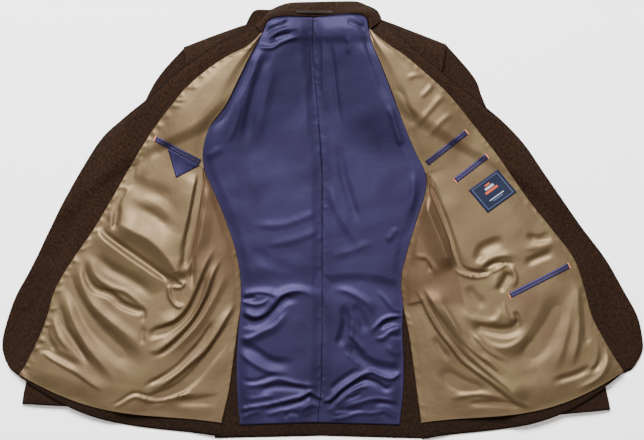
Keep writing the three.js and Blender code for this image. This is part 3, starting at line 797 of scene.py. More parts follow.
@dataclass
class Lining:
    """One satin panel of a front: where it runs, how it swells and which folds it holds."""

    half: Half
    panel: Panel
    top: float
    swell: float
    folds: tuple[Fold, ...]
    ripples: tuple[Ripple, ...]
    puckers: tuple[Pucker, ...]
    seam_puckers: tuple[Pucker, ...] = ()
    fold_margin: float = 16.0
    cell: float = LINING_CELL

    def __post_init__(self) -> None:
        """Names the node that the panel stands for."""
        self.node = self.half.name(f"{self.panel.value}_lining")

    def build(self) -> Piece:
        """Makes the panel's shell."""
        half = self.half
        rows = even_rows(half, self.top, LINING_HEM, self.cell)
        start, stop = half.panel_ends(rows, self.panel)
        width, _ = half.widths(rows)
        count = max(6, int(round(float(np.max((stop - start) * width)) / self.cell)))
        part = np.linspace(0, 1, count + 1)[None, :]
        row = np.repeat(rows[:, None], count + 1, axis=1)
        across = mix(start[:, None], stop[:, None], part)
        x, y, base = half.front_base(row, across, LINING_SPREAD)
        panel_width = np.maximum(width[:, None], 1.0)
        from_start = (across - start[:, None]) * panel_width
        from_stop = (stop[:, None] - across) * panel_width
        at_front = self.panel is Panel.FRONT
        outer, inner = (from_stop, from_start) if at_front else (from_start, from_stop)
        hem = (LINING_HEM - row) * PUFF_MARGIN
        reach = np.maximum(np.minimum(PUFF_MARGIN, PUFF_SHARE * (stop - start)[:, None] * panel_width), 1.0)
        joined = smooth(row, ARMPIT_ROW, ARMPIT_ROW + JOIN_ROWS)
        inside = smooth(inner / reach, 0, 1)
        swell = mix(joined * SIDE_PUFF, self.swell, inside) * smooth(outer / reach, 0, 1)
        full = swell * smooth(hem, 0, PUFF_MARGIN)
        ease = np.minimum(1, np.minimum(outer, mix(inner, EASE_MARGIN, joined)) / EASE_MARGIN)
        near = np.minimum(outer, hem)
        along = travelled(x[:, -1], y[:, -1])[:, None] + 0 * x
        fold = lifted(self.folds, x, y)
        fold = np.where(fold < 0, HOLLOW_GAIN, FOLD_GAIN) * fold
        rise = full + smooth(near, 0, self.fold_margin) * (fold + lifted(self.ripples, x, y))
        rise = rise + lifted(self.puckers, from_stop, along) + lifted(self.seam_puckers, from_start, along)
        low = base + TWEED + SEAM + LINING_EASE * ease + soft_floor(rise)
        self.grid = Grid(x, y, low, low + SATIN)
        piece = Maker.shell(f"{self.node}_cloth", self.grid)
        piece.data.set_sharp_from_angle(angle=CUT_EDGE)
        return piece


def soft_floor(rise: Array, knee: float = 1.2) -> Array:
    """Keeps a rise above zero, rounding where it would dip below."""
    return knee * np.logaddexp(0, np.asarray(rise) / knee) - knee * math.log(2) * np.exp(-np.abs(rise) / knee)


@dataclass
class BackLining:
    """One half of the back's satin lining."""

    half: Half
    folds: tuple[Fold, ...]
    ripples: tuple[Ripple, ...]
    puckers: tuple[Pucker, ...]
    fold_margin: float = 10.0
    cell: float = LINING_CELL

    def build(self) -> Piece:
        """Makes the half's shell."""
        half = self.half
        rows = even_rows(half, NECK_ROW, LINING_HEM, self.cell)
        edge_x, edge_y = half.back_point(rows, np.zeros(rows.shape))
        mid_x, mid_y = half.back_point(rows, np.ones(rows.shape))
        width = np.hypot(mid_x - edge_x, mid_y - edge_y)
        inset = (HALF_SEAM / width)[:, None]
        count = int(round(float(width.max()) / self.cell))
        part = np.linspace(0, 1, count + 1)[None, :]
        row = np.repeat(rows[:, None], count + 1, axis=1)
        across = mix(inset, 1 - inset, part)
        x, y = half.back_point(row, across)
        base = half.back_lift(x, y)
        from_side, from_mid = across * width[:, None], (1 - across) * width[:, None]
        sideways = np.minimum(from_side, from_mid)
        lengthways = np.minimum(row, LINING_HEM - row) * PUFF_MARGIN
        full = smooth(sideways, 0, PUFF_MARGIN / 2) * smooth(lengthways, 0, PUFF_MARGIN)
        near = np.minimum(from_side, lengthways)
        along = travelled(mid_x, mid_y)[:, None] + 0 * x
        uneven = lifted(self.folds, x, y) + lifted(self.ripples, x, y)
        rise = full * BACK_PUFF + smooth(near, 0, self.fold_margin) * uneven
        low = base + soft_floor(rise + lifted(self.puckers, from_mid, along))
        return Maker.shell(f"{half.name('back_lining')}_cloth", Grid(x, y, low, low + SATIN))


def rounded(away: Array, wall: float, radius: float) -> Array:
    """How far a cloth's top drops towards a cut or folded edge, as a quarter round."""
    t = 1 - np.clip(away / radius, 0, 1)
    return 0.5 * wall * (1 - np.sqrt(np.maximum(0, 1 - t * t)))


FRINGE = (0.0, 0.3, 0.9, 1.8, 3.2)
FRINGE_END = 5.5


def edge_spaced(width: float, cell: float) -> Array:
    """Parts across a strip, close together at its two edges."""
    fringe = np.array(FRINGE)
    count = max(2, int((width - 2 * FRINGE_END) / cell))
    middle = np.linspace(FRINGE_END, width - FRINGE_END, count)
    return np.concatenate([fringe, middle, width - fringe[::-1]]) / width


@dataclass
class FrontCloth:
    """The tweed of one front: forepart, side body, facing and turned-under lapel."""

    half: Half
    cell: float = TWEED_CELL
    edge_radius: float = 2.6
    nap: Ripple = Ripple(0.22, 70, 40)
    nap_from_edge: float = 14
    nap_from_seam: float = 10
    rim_share: float = 0.8

    def part(self, stem: str, panel: Panel, start: float, stop: float, lift: float) -> Piece:
        """Makes one tweed panel over a run of sections.

        Args:
            stem: The panel's name without its side.
            panel: Which stretch of the section it covers.
            start: First section.
            stop: Last section.
            lift: Height over the front's base.

        Returns:
            The new object.
        """
        half = self.half
        rows = even_rows(half, start, stop, self.cell)
        left, right = half.panel_ends(rows, panel)
        width, facing = half.widths(rows)
        inner_part = (np.minimum(right, 1) - np.minimum(left, 1)) * width
        span = float(np.max(inner_part + np.maximum(right - 1, 0) * facing))
        part = edge_spaced(max(span, 14.0), self.cell)[None, :]
        row = np.repeat(rows[:, None], part.size, axis=1)
        across = mix(left[:, None], right[:, None], part)
        x, y, base = half.front_base(row, across)
        edge = half.from_edge(row, across)
        low = base + lift
        high = low + TWEED
        if panel is Panel.FORE:
            low = low + rounded(edge, TWEED, self.edge_radius)
        if panel is Panel.FACING:
            to_border = np.maximum(across - 1, 0) * facing[:, None]
            even = smooth(edge, 0, self.nap_from_edge) * smooth(to_border, 0, self.nap_from_seam)
            high = high - rounded(edge, TWEED, self.edge_radius) + self.nap.lift(x, y) * even
        return Maker.shell(f"{half.name(stem)}_cloth", Grid(x, y, low, high))

    def lapel(self) -> Piece:
        """Makes the lapel that is turned under along the roll line."""
        half = self.half
        rows = even_rows(half, LAPEL_TOP, LAPEL_END, self.cell)
        panel, facing = half.widths(rows)
        width = np.minimum(half.rows.at("lapel", rows), panel + facing - LAPEL_SHELF)
        part = edge_spaced(float(width.max()), self.cell)[None, :]
        away = width[:, None] * part
        panel, facing = panel[:, None], facing[:, None]
        across = np.where(away < facing, 2 - away / facing, 1 - (away - facing) / np.maximum(panel, 1))
        row = np.repeat(rows[:, None], part.size, axis=1)
        x, y = half.front_point(row, across)
        low = half.bed(x, y) + SEAM
        rim = sum(rounded(place, LAPEL_PLIES, self.edge_radius) for place in (away, width[:, None] - away))
        rim = rim * self.rim_share
        return Maker.shell(f"{half.name('lapel')}_cloth", Grid(x, y, low + rim, low + LAPEL_PLIES - rim))

    def build(self) -> dict[str, Piece]:
        """Makes all the tweed of the front, each piece under its node's name."""
        cuts = (
            ("forepart", Panel.FORE, FRONT_TOP, CLOTH_HEM, 0),
            ("side_body", Panel.SIDE, ARMPIT_ROW, CLOTH_HEM, 0),
            ("facing", Panel.FACING, FRONT_TOP, LINING_HEM, TWEED + SEAM),
        )
        made = {self.half.name(cut[0]): self.part(*cut) for cut in cuts}
        made[self.half.name("lapel")] = self.lapel()
        return made


@dataclass
class BackCloth:
    """The tweed back panel of one half."""

    half: Half
    cell: float = TWEED_CELL
    edge_radius: float = 2.4
    vent_tuck: float = 3.0
    tuck_rows: tuple[float, float, float, float] = (12.4, 13.4, 15.2, 16)

    def build(self) -> Piece:
        """Makes the panel's shell."""
        half = self.half
        rows = even_rows(half, NECK_ROW, CLOTH_HEM, self.cell)
        edge_x, edge_y = half.rows.at("back_x", rows), half.rows.at("back_y", rows)
        mid_x, mid_y = CENTRE.at("x", rows) + half.outward * HALF_SEAM, CENTRE.at("y", rows)
        start, full, fade, stop = self.tuck_rows
        under_vent = smooth(rows, start, full) * (1 - smooth(rows, fade, stop))
        edge_x = edge_x - half.outward * SEAM + half.outward * self.vent_tuck * under_vent
        width = float(np.hypot(mid_x - edge_x, mid_y - edge_y).max())
        part = edge_spaced(width, self.cell)[None, :]
        x, y = mix(edge_x[:, None], mid_x[:, None], part), mix(edge_y[:, None], mid_y[:, None], part)
        low = neck_lift(y)
        hem = np.abs(y - y[-1][None, :])
        side = part * width + 0 * x
        drop = np.maximum(rounded(hem, TWEED, self.edge_radius), rounded(side, TWEED, self.edge_radius))
        return Maker.shell(f"{half.name('back')}_cloth", Grid(x, y, low, low + TWEED - drop))


@dataclass
class Sleeve:
    """A sleeve pressed flat: the under sleeve below and the top sleeve arched over it."""

    half: Half
    cell: float = TWEED_CELL
    ease: Ripple = Ripple(0.5, 80, 60)
    ease_share: float = 0.6
    head_fullness: float = 1.2
    head_rows: float = 0.12
    seam_dip: float = 0.9
    seam_rows: float = 0.05
    most: float = 0.9
    tuck: float = 2.6

    def grid(self) -> tuple[Array, Array, Array, Array]:
        """Places on the sleeve: x, y, section and the part across from -1 to 1."""
        strip = self.half.sleeve
        fine = np.linspace(0, strip.last, 300)
        length = travelled(*strip.point(fine, 0.5))
        rows = evenly(fine, length, int(length[-1] / self.cell))
        across = edge_spaced(200.0, self.cell)[None, :]
        row = np.repeat(rows[:, None], across.size, axis=1)
        x, y = strip.point(row, across)
        step = np.hypot(x[0] - x[1], y[0] - y[1])
        x[0] += (x[0] - x[1]) / step * self.tuck
        y[0] += (y[0] - y[1]) / step * self.tuck
        return x, y, row, 2 * across - 1 + 0 * row

    def build(self) -> dict[str, Piece]:
        """Makes the two sleeve shells."""
        x, y, row, part = self.grid()
        under = Grid(x, y, np.zeros(x.shape), np.full(x.shape, TWEED))
        rim = 2 * TWEED + SEAM
        inner = 1 - part**4
        head = self.head_fullness * np.exp(-((row - self.head_rows) / self.head_rows) ** 2)
        dip = self.seam_dip * np.exp(-(row / self.seam_rows) ** 2)
        high = mix(rim, SLEEVE_HEIGHT, inner) + inner * (self.ease_share * self.ease.lift(x, y) + head - dip)
        high = np.minimum(high, SLEEVE_HEIGHT + self.most)
        top = Grid(x, y, high - TWEED, high)
        name = self.half.name
        return {
            name("under_sleeve"): Maker.shell(f"{name('under_sleeve')}_cloth", under),
            name("top_sleeve"): Maker.shell(f"{name('top_sleeve')}_cloth", top),
        }


@dataclass
class Shoulder:
    """A padded shoulder, one rounded solid between the back and the front."""

    half: Half
    columns: int = 40
    rows: int = 60

    def build(self) -> Piece:
        """Makes the shoulder's closed form."""
        strip = self.half.shoulder
        row = np.repeat(np.linspace(0, strip.last, self.rows + 1)[:, None], self.columns + 1, axis=1)
        across = (0.5 - 0.5 * np.cos(np.linspace(0, np.pi, self.columns + 1)))[None, :]
        x, y = strip.point(row, across)
        low = TWEED + SHOULDER_CLEARANCE + neck_lift(y)
        rim = low + SHOULDER_RIM
        rise = np.maximum(0, self.half.crown(x, y) - CROWN_CLEARANCE - rim)
        high = rim + rise * (1 - (2 * across - 1) ** 4)
        return Maker.shell(f"{self.half.name('shoulder')}_cloth", Grid(x, y, low + 0 * x, high))


@dataclass
class Collar:
    """The collar: a stand up to the fold line, a fall behind it, and the hanger loop."""

    stand_columns: int = 14
    stand_rows: int = 150
    stand_width: float = 40.0
    edge_radius: float = 2.4
    fall_rows: int = 90
    fall_columns: int = 12
    neck_places: int = 9
    loop_from: tuple[float, float] = (-46, 355)
    loop_to: tuple[float, float] = (18, 355)
    loop_places: tuple[int, int] = (33, 7)
    loop_slack: float = 1.4
    loop_lift: float = 0.6
    loop_crown: float = 0.25

    def neckline(self, places: Array) -> tuple[Array, Array, Array]:
        """Seam of collar and lining from the right gorge to the left: x, y and its height."""
        points = []
        for half in HALVES:
            rows = np.array([FRONT_TOP, 0.5, NECK_ROW], float)
            side = np.stack(half.back_point(rows, 0 * rows), axis=1)
            part = np.linspace(0, 1, self.neck_places)[1:]
            run = np.concatenate([side, np.stack(half.back_point(0 * part, part), axis=1)])
            run = np.concatenate([run, half.back_lift(*run.T)[:, None]], axis=1)
            points.append(run if half is RIGHT else run[::-1][1:])
        seam = Sections("x y z", np.concatenate(points))
        return tuple(seam.at(axis, places * seam.last) for axis in "xyz")

    def build(self) -> dict[str, Piece]:
        """Makes the stand, the fall and the loop."""
        places = np.linspace(0, 1, self.stand_rows + 1)
        seam_x, seam_y, seam_low = self.neckline(places)
        fold_x, fold_y = (FOLD_LINE.at(axis, places * FOLD_LINE.last) for axis in "xy")
        length = np.hypot(fold_x - seam_x, fold_y - seam_y)
        under = np.where(places < 0.5, RIGHT.bed(fold_x, fold_y), LEFT.bed(fold_x, fold_y))
        fold_low = TWEED + SEAM + under
        part = edge_spaced(self.stand_width, self.stand_width / self.stand_columns)[None, :]
        t = mix((STAND_GAP / length)[:, None], 1.0, part)
        low = mix(seam_low[:, None], fold_low[:, None], t * t) + STAND_ARCH * np.sin(np.pi * t)
        x, y = mix(seam_x[:, None], fold_x[:, None], t), mix(seam_y[:, None], fold_y[:, None], t)
        drop = rounded((1 - t) * length[:, None], TWEED, self.edge_radius)
        self.stand = Grid(x, y, low, low + TWEED - drop)
        row = np.repeat(np.linspace(0, FALL.last, self.fall_rows)[:, None], self.fall_columns, axis=1)
        fall_x, fall_y = FALL.point(row, np.linspace(0, 1, self.fall_columns)[None, :])
        fall = Grid(fall_x, fall_y, np.zeros(row.shape), np.full(row.shape, TWEED))
        return {
            "collar_stand": Maker.shell("collar_stand_cloth", self.stand),
            "collar_fall": Maker.shell("collar_fall_cloth", fall),
            "hanger_loop": self.loop(),
        }

    def loop(self) -> Piece:
        """Makes the hanger loop, slack over the stand between its two ends."""
        along, across = self.loop_places
        t, s = np.linspace(0, 1, along)[:, None], np.linspace(0, 1, across)[None, :]
        x = mix(self.loop_from[0], self.loop_to[0], t) + 0 * s
        y = mix(self.loop_from[1], self.loop_to[1], t) + LOOP_WIDTH * s
        low = Surface(self.stand).height(x, y) + self.loop_lift + self.loop_slack * np.sin(np.pi * t)
        high = low + LOOP_WALL - self.loop_crown * (2 * s - 1) ** 4
        return Maker.shell("hanger_loop_webbing", Grid(x, y, low, high))


class Surface:
    """The upper side of a finished cloth, to lay things on."""

    def __init__(self, grid: Grid) -> None:
        """Keeps the places of the cloth's upper side."""
        self.points = listed(grid.x, grid.y)
        self.heights = grid.high.ravel()

    def height(self, x: Array, y: Array) -> Array:
        """Height of the upper side at places, from its nearest corners."""
        x, y = np.broadcast_arrays(np.asarray(x, float), np.asarray(y, float))
        result = np.empty(x.shape)
        for index in np.ndindex(x.shape):
            away = (self.points[:, 0] - x[index]) ** 2 + (self.points[:, 1] - y[index]) ** 2
            near = np.argpartition(away, 4)[:4]
            weight = 1 / (away[near] + 0.05)
            result[index] = float((self.heights[near] * weight).sum() / weight.sum())
        return result


@dataclass
class RolledEdge:
    """The pressed roll of a front's edge, where the lapel turns under over the shoulder."""

    half: Half
    inset: float = 1.0
    radius: float = 0.9
    sink: float = 0.5
    stop: float = 7.6
    steps: int = 200
    sides: int = 8

    def build(self) -> Piece:
        """Makes the roll as a thin tube along the edge."""
        rows = np.linspace(FRONT_TOP + 0.05, self.stop, self.steps)
        _, facing = self.half.widths(rows)
        x, y, base = self.half.front_base(rows, 2 - self.inset / facing)
        z = base + 2 * TWEED + SEAM - self.sink
        run = np.stack([np.gradient(x), np.gradient(y)])
        part = np.linspace(0, 1, self.steps)
        size = self.radius * np.sqrt(np.clip(4 * np.minimum(part, 1 - part), 0.02, 1))
        points, faces = tube(x, y, z, run / np.hypot(*run), size, self.sides)
        return Maker.mesh(f"{self.half.name('lapel')}_roll", points, faces)


@dataclass(frozen=True)
class Thread:
    """A sewing thread and how long each stitch of it shows."""

    length: float
    gap: float
    radius: float


class Stitches:
    """Many single stitches joined into one mesh, laid on a cloth."""

    AROUND = 6
    ALONG = 5
    RISE = 0.7
    THIN_END = 0.25
    TACK_SPACING = 1.7
    TACK_SINK = -0.2

    def __init__(self, name: str, surface: Surface) -> None:
        """Starts with no stitch.

        Args:
            name: Name of the piece.
            surface: The cloth that the stitches lie on.
        """
        self.name = name
        self.surface = surface
        self.points: list[Array] = []
        self.faces: list[Array] = []
        self.count = 0

    def stitch(self, a: Sequence[float], b: Sequence[float], radius: float, sink: float = 0.35) -> None:
        """Adds one stitch between two places, with round ends that dip into the cloth."""
        t = np.linspace(0, 1, self.ALONG)
        x, y = mix(a[0], b[0], t), mix(a[1], b[1], t)
        arch = np.sqrt(np.maximum(0, 1 - (2 * t - 1) ** 4))
        z = self.surface.height(x, y) - sink * radius + self.RISE * radius * arch
        run = np.array([b[0] - a[0], b[1] - a[1]]) / math.hypot(b[0] - a[0], b[1] - a[1])
        size = radius * np.maximum(arch, self.THIN_END)
        points, sides = tube(x, y, z, run, size, self.AROUND)
        last = (self.ALONG - 1) * self.AROUND
        first_end = np.array([[0, 5, 4, 1], [1, 4, 3, 2]])
        last_end = last + np.array([[0, 1, 4, 5], [1, 2, 3, 4]])
        self.points.append(points)
        self.faces.append(np.concatenate([sides, first_end, last_end]) + self.count)
        self.count += len(points)

    def run(self, path: Sequence[Sequence[float]], thread: Thread) -> None:
        """Sews a line of stitches along a path."""
        path = np.asarray(path, float)
        length = travelled(*path.T)
        place = 0.0
        while place + thread.length <= length[-1]:
            ends = np.array([place, place + thread.length])
            x, y = np.interp(ends, length, path[:, 0]), np.interp(ends, length, path[:, 1])
            self.stitch((x[0], y[0]), (x[1], y[1]), thread.radius)
            place += thread.length + thread.gap

    def tack(self, centre: Array, along: Array, length: float, thread: Thread) -> None:
        """Sews a bar tack: close stitches across a short bar."""
        across = np.array([-along[1], along[0]]) * thread.length / 2
        count = int(length / (self.TACK_SPACING * thread.radius))
        for place in np.linspace(-length / 2, length / 2, count):
            middle = centre + along * place
            self.stitch(tuple(middle - across), tuple(middle + across), thread.radius, self.TACK_SINK)

    def build(self) -> Piece:
        """Makes the joined mesh."""
        return Maker.mesh(self.name, np.concatenate(self.points), np.concatenate(self.faces))


LIP_PARTS = (0.0, 0.05, 0.15, 0.32, 0.5, 0.68, 0.85, 0.95, 1.0)


@dataclass(frozen=True)
class Pocket:
    """A jetted pocket: its slit's two ends, and which of them show a tack."""

    name: str
    start: tuple[float, float]
    stop: tuple[float, float]
    tacked: tuple[bool, bool] = (True, True)
    lip_cell: float = 2.2
    folded: float = 0.5
    tack_thread: Thread = Thread(2.0, 0.0, 0.28)
    tack_reach: float = 1.2
    tack_out: float = 0.6

    def axes(self) -> tuple[Array, Array, float]:
        """Unit vectors along and across the slit, and its length."""
        along = np.array(self.stop, float) - self.start
        length = float(np.hypot(*along))
        along = along / length
        return along, np.array([-along[1], along[0]]), length

    def lip(self, side: int, surface: Surface) -> Grid:
        """One folded lip, rounded at the slit and thin at its seam."""
        along, aside, length = self.axes()
        t = np.linspace(0, 1, max(8, int(length / self.lip_cell)))[:, None]
        s = np.array(LIP_PARTS)[None, :]
        reach = side * (LIP_MOUTH + s * LIP_WIDTH)
        x, y = (a + t * length * u + reach * w for a, u, w in zip(self.start, along, aside))
        low = surface.height(x, y) + self.folded / 2
        round_over = np.sqrt(np.maximum(0, 1 - np.abs(2 * s - 0.85) ** 3 / 1.6))
        top = low + self.folded / 2 + (LIP_LIFT + LIP_WALL - self.folded) * round_over
        return Grid(x, y, low, top)

    def build(self, surface: Surface) -> dict[str, Piece]:
        """Makes the two lips."""
        names = {f"{self.name}_upper": 1, f"{self.name}_lower": -1}
        return {node: Maker.shell(f"{node}_lip", self.lip(side, surface)) for node, side in names.items()}

    def sew(self, tacks: Stitches) -> None:
        """Sews the tacks at the slit's ends."""
        along, aside, _ = self.axes()
        for end, shown, out in ((self.start, self.tacked[0], -1), (self.stop, self.tacked[1], 1)):
            if shown:
                centre = np.array(end) + along * out * self.tack_out
                tacks.tack(centre, aside, 2 * LIP_WIDTH + self.tack_reach, self.tack_thread)


@dataclass(frozen=True)
class PocketTab:
    """The triangular tab that hangs out of a pocket's slit."""

    start: tuple[float, float] = (-265, 123.2)
    stop: tuple[float, float] = (-210.5, 94.5)
    tip: tuple[float, float] = (-251, 73)
    point: float = 0.985
    rows: int = 24
    columns: int = 22
    reach: float = 60
    rim: float = 0.55
    fullness: float = 0.65
    wave: float = 0.15

    def build(self, surface: Surface) -> Piece:
        """Makes the tab, a little puffed by its folded edges."""
        t = np.linspace(0, self.point, self.rows)[:, None]
        s = np.linspace(0, 1, self.columns)[None, :]
        x, y = (a + t * (c - a) + s * (1 - t) * (b - a) for a, b, c in zip(self.start, self.stop, self.tip))
        low = surface.height(x, y) + SEAM
        edge = np.minimum(s, 1 - s) * (1 - t) * self.reach
        waves = self.wave * np.sin(x * 0.5) * smooth(edge, 2, 8)
        puff = self.rim + self.fullness * smooth(edge, 0, 2.0) + waves
        return Maker.shell("pocket_tab_r_cloth", Grid(x, y, low, low + puff))


@dataclass(frozen=True)
class Label:
    """A woven label with a plain border and a small motif of bars."""

    corner: tuple[float, float] = (249, 52)
    across: tuple[float, float] = (299, 88)
    down: tuple[float, float] = (282, 13)
    columns: int = 30
    rim: float = 0.4
    fullness: float = 0.5
    rim_share: float = 0.03
    sewn_at: float = 0.95

    def build(self, surface: Surface) -> Piece:
        """Makes the label, with its place on the cloth mapped from 0 to 1."""
        t = np.linspace(0, 1, self.columns + 1)[:, None]
        s = t.T
        x, y = (c + t * (a - c) + s * (d - c) for c, a, d in zip(self.corner, self.across, self.down))
        low = surface.height(x, y) + SEAM
        edge = np.minimum(np.minimum(t, 1 - t), np.minimum(s, 1 - s))
        grid = Grid(x, y, low, low + self.rim + self.fullness * smooth(edge, 0, self.rim_share))
        piece = Maker.shell("label_l_weave", grid)
        layer = piece.data.uv_layers[0]
        flat = listed(t + 0 * s, 1 - s + 0 * t)
        flat = np.concatenate([flat, flat])
        index = np.empty(len(piece.data.loops), np.int32)
        piece.data.loops.foreach_get("vertex_index", index)
        layer.data.foreach_set("uv", flat[index].astype(np.float32).ravel())
        return piece

    def sew(self, thread: Thread, stitches: Stitches) -> None:
        """Sews the label down along its four edges."""
        corner, across, down = (np.array(p, float) for p in (self.corner, self.across, self.down))
        far = across + down - corner
        middle = (corner + far) / 2
        loop = [middle + (p - middle) * self.sewn_at for p in (corner, across, far, down, corner)]
        for a, b in zip(loop[:-1], loop[1:]):
            stitches.run([a, b], thread)


BUTTON_PROFILE = (
    (0.0, 0.8), (0.3, 0.8), (0.56, 0.75), (0.66, 0.4), (0.74, 0.08), (0.82, 0.0), (0.92, 0.08),
    (0.98, 0.4), (1.0, 0.9), (1.0, 2.4), (0.97, 3.0), (0.9, 3.4), (0.5, 3.4), (0.0, 3.4),
)


@dataclass(frozen=True)
class ButtonForm:
    """A sewn-on button with a raised rim and a dished face, turned from a profile of part and height."""

    spot: Button
    sides: int = 64

    def build(self) -> Piece:
        """Makes the button, its face down on the surface that the cloth lies on."""
        turn = np.linspace(0, 2 * np.pi, self.sides, endpoint=False)
        part, height = np.array(BUTTON_PROFILE).T
        radius = np.maximum(part * BUTTON_RADIUS, 0.02)
        x = self.spot.x + radius[:, None] * np.cos(turn)
        y = self.spot.y + radius[:, None] * np.sin(turn)
        z = np.repeat(height[:, None], self.sides, axis=1)
        faces = ring_faces(np.arange(x.size).reshape(x.shape))[:, [0, 3, 2, 1]]
        return Maker.mesh(f"{self.spot.name}_horn", listed(x, y, z), faces)


def srgb(code: str) -> tuple[float, float, float, float]:
    """Turns an sRGB hex colour into the linear values that a shader takes.

    Args:
        code: Six hex digits.

    Returns:
        Red, green, blue and a full alpha.
    """
    parts = (int(code[i : i + 2], 16) / 255 for i in (0, 2, 4))
    return (*(c / 12.92 if c <= 0.04045 else ((c + 0.055) / 1.055) ** 2.4 for c in parts), 1.0)


class Shader:
    """A material's nodes, added one call at a time."""

    def __init__(self, name: str) -> None:
        """Starts a material with a principled shader.

        Args:
            name: Name of the material.
        """
        self.material = bpy.data.materials.new(name)
        self.material.use_nodes = True
        self.tree = self.material.node_tree
        self.tree.nodes.clear()
        self.principled = self.add("BsdfPrincipled")
        output = self.add("OutputMaterial")
        self.tree.links.new(self.principled.outputs[0], output.inputs["Surface"])

    def add(self, kind: str, inputs: dict | None = None, **settings) -> bpy.types.Node:
        """Adds a node with its settings, values and links.

        Args:
            kind: Node type without its prefix.
            inputs: Values or other nodes' sockets for its inputs.
            settings: Attributes of the node.

        Returns:
            The node.
        """
        node = self.tree.nodes.new(f"ShaderNode{kind}")
        for name, value in settings.items():
            setattr(node, name, value)
        for name, value in (inputs or {}).items():
            self.put(node.inputs[name], value)
        return node

    def put(self, socket: Socket, value) -> None:
        """Links a socket, or sets its value, which can be a hex colour."""
        if isinstance(value, Socket):
            self.tree.links.new(value, socket)
        else:
            socket.default_value = srgb(value) if isinstance(value, str) else value

    def surface(self, **inputs) -> None:
        """Sets the principled shader's inputs, with _ for a space."""
        for name, value in inputs.items():
            self.put(self.principled.inputs[name.replace("_", " ")], value)

    def math(self, operation: str, a, b=0.0) -> Socket:
        """Result of a sum with one or two values."""
        return self.add("Math", {0: a, 1: b}, operation=operation).outputs[0]

    def scaled(self, value, gain: float, base) -> Socket:
        """A value times a gain, over a base."""
        return self.math("ADD", self.math("MULTIPLY", value, gain), base)

    def waves(self, along, length: float) -> Socket:
        """Waves of a length in metres along a distance in metres."""
        return self.math("SINE", self.math("MULTIPLY", along, 2 * math.pi / length))

    def cloth(self) -> tuple[Socket, Socket, Socket]:
        """Place on the cloth in metres: the vector and its two parts."""
        place = self.add("UVMap", uv_map="Cloth").outputs[0]
        return place, *self.add("SeparateXYZ", {0: place}).outputs[:2]

    def noise(self, place, scale: float, detail: float = 2.0, rough: float = 0.5) -> Socket:
        """Noise from 0 to 1 at a scale in cycles a metre."""
        inputs = {"Vector": place, "Scale": scale, "Detail": detail, "Roughness": rough}
        return self.add("TexNoise", inputs).outputs[0]

    def ramp(self, value, stops: Sequence[tuple[float, str | tuple]]) -> Socket:
        """Colour read along a ramp of hex colours or of red, green and blue parts."""
        node = self.add("ValToRGB", {0: value})
        ramp = node.color_ramp
        while len(ramp.elements) < len(stops):
            ramp.elements.new(0.5)
        for element, (place, colour) in zip(ramp.elements, stops):
            element.position = place
            element.color = srgb(colour) if isinstance(colour, str) else (*colour, 1.0)
        return node.outputs[0]

    def blend(self, part, a, b, kind: str = "MIX") -> Socket:
        """Blend of two colours."""
        return self.add("Mix", {0: part, 6: a, 7: b}, data_type="RGBA", blend_type=kind).outputs[2]

    def bump(self, height, strength: float, distance: float, under=None) -> Socket:
        """Normal from a height in its own units times a distance in metres."""
        inputs = {"Height": height, "Strength": strength, "Distance": distance}
        if under is not None:
            inputs["Normal"] = under
        return self.add("Bump", inputs).outputs[0]


@dataclass(frozen=True)
class TweedFinish:
    """Woollen tweed: a brown twill with dark, red and pale flecks and a short dull nap."""

    name: str
    base: str
    dark: str
    rust: str
    pale: str
    thread: float = 0.0013

    def material(self) -> Material:
        """Makes the cloth: twill lines, mixed yarns and a soft nap that dulls its edges."""
        s = Shader(self.name)
        place, u, v = s.cloth()
        slope = s.math("MULTIPLY", s.math("ADD", u, v), 2 * math.pi / self.thread)
        twill = s.math("SINE", s.scaled(s.noise(place, 260, 3), 5.0, slope))
        yarn = s.noise(place, 620, 3, 0.7)
        mottle = s.noise(place, 210, 3, 0.65)
        broad = s.noise(place, 9, 2)
        mixed = s.scaled(yarn, 0.55, s.math("MULTIPLY", mottle, 0.45))
        ground = s.ramp(mixed, [(0.4, self.dark), (0.51, self.base), (0.64, self.rust)])
        fleck = s.noise(place, 760, 1, 0.4)
        chosen = s.math("GREATER_THAN", fleck, 0.7)
        ground = s.blend(s.math("MULTIPLY", chosen, 0.4), ground, self.pale)
        shade = s.ramp(broad, [(0.3, (0.86, 0.86, 0.86)), (0.7, (1.1, 1.08, 1.06))])
        colour = s.blend(1.0, ground, shade, "MULTIPLY")
        fuzz = s.bump(yarn, 0.55, 0.0007)
        weave = s.bump(twill, 0.45, 0.00028, fuzz)
        rough = s.scaled(yarn, 0.12, 0.84)
        s.surface(Base_Color=colour, Roughness=rough, IOR=1.45, Specular_IOR_Level=0.1, Normal=weave)
        s.surface(Sheen_Weight=0.06, Sheen_Roughness=0.55, Sheen_Tint=self.pale)
        return s.material


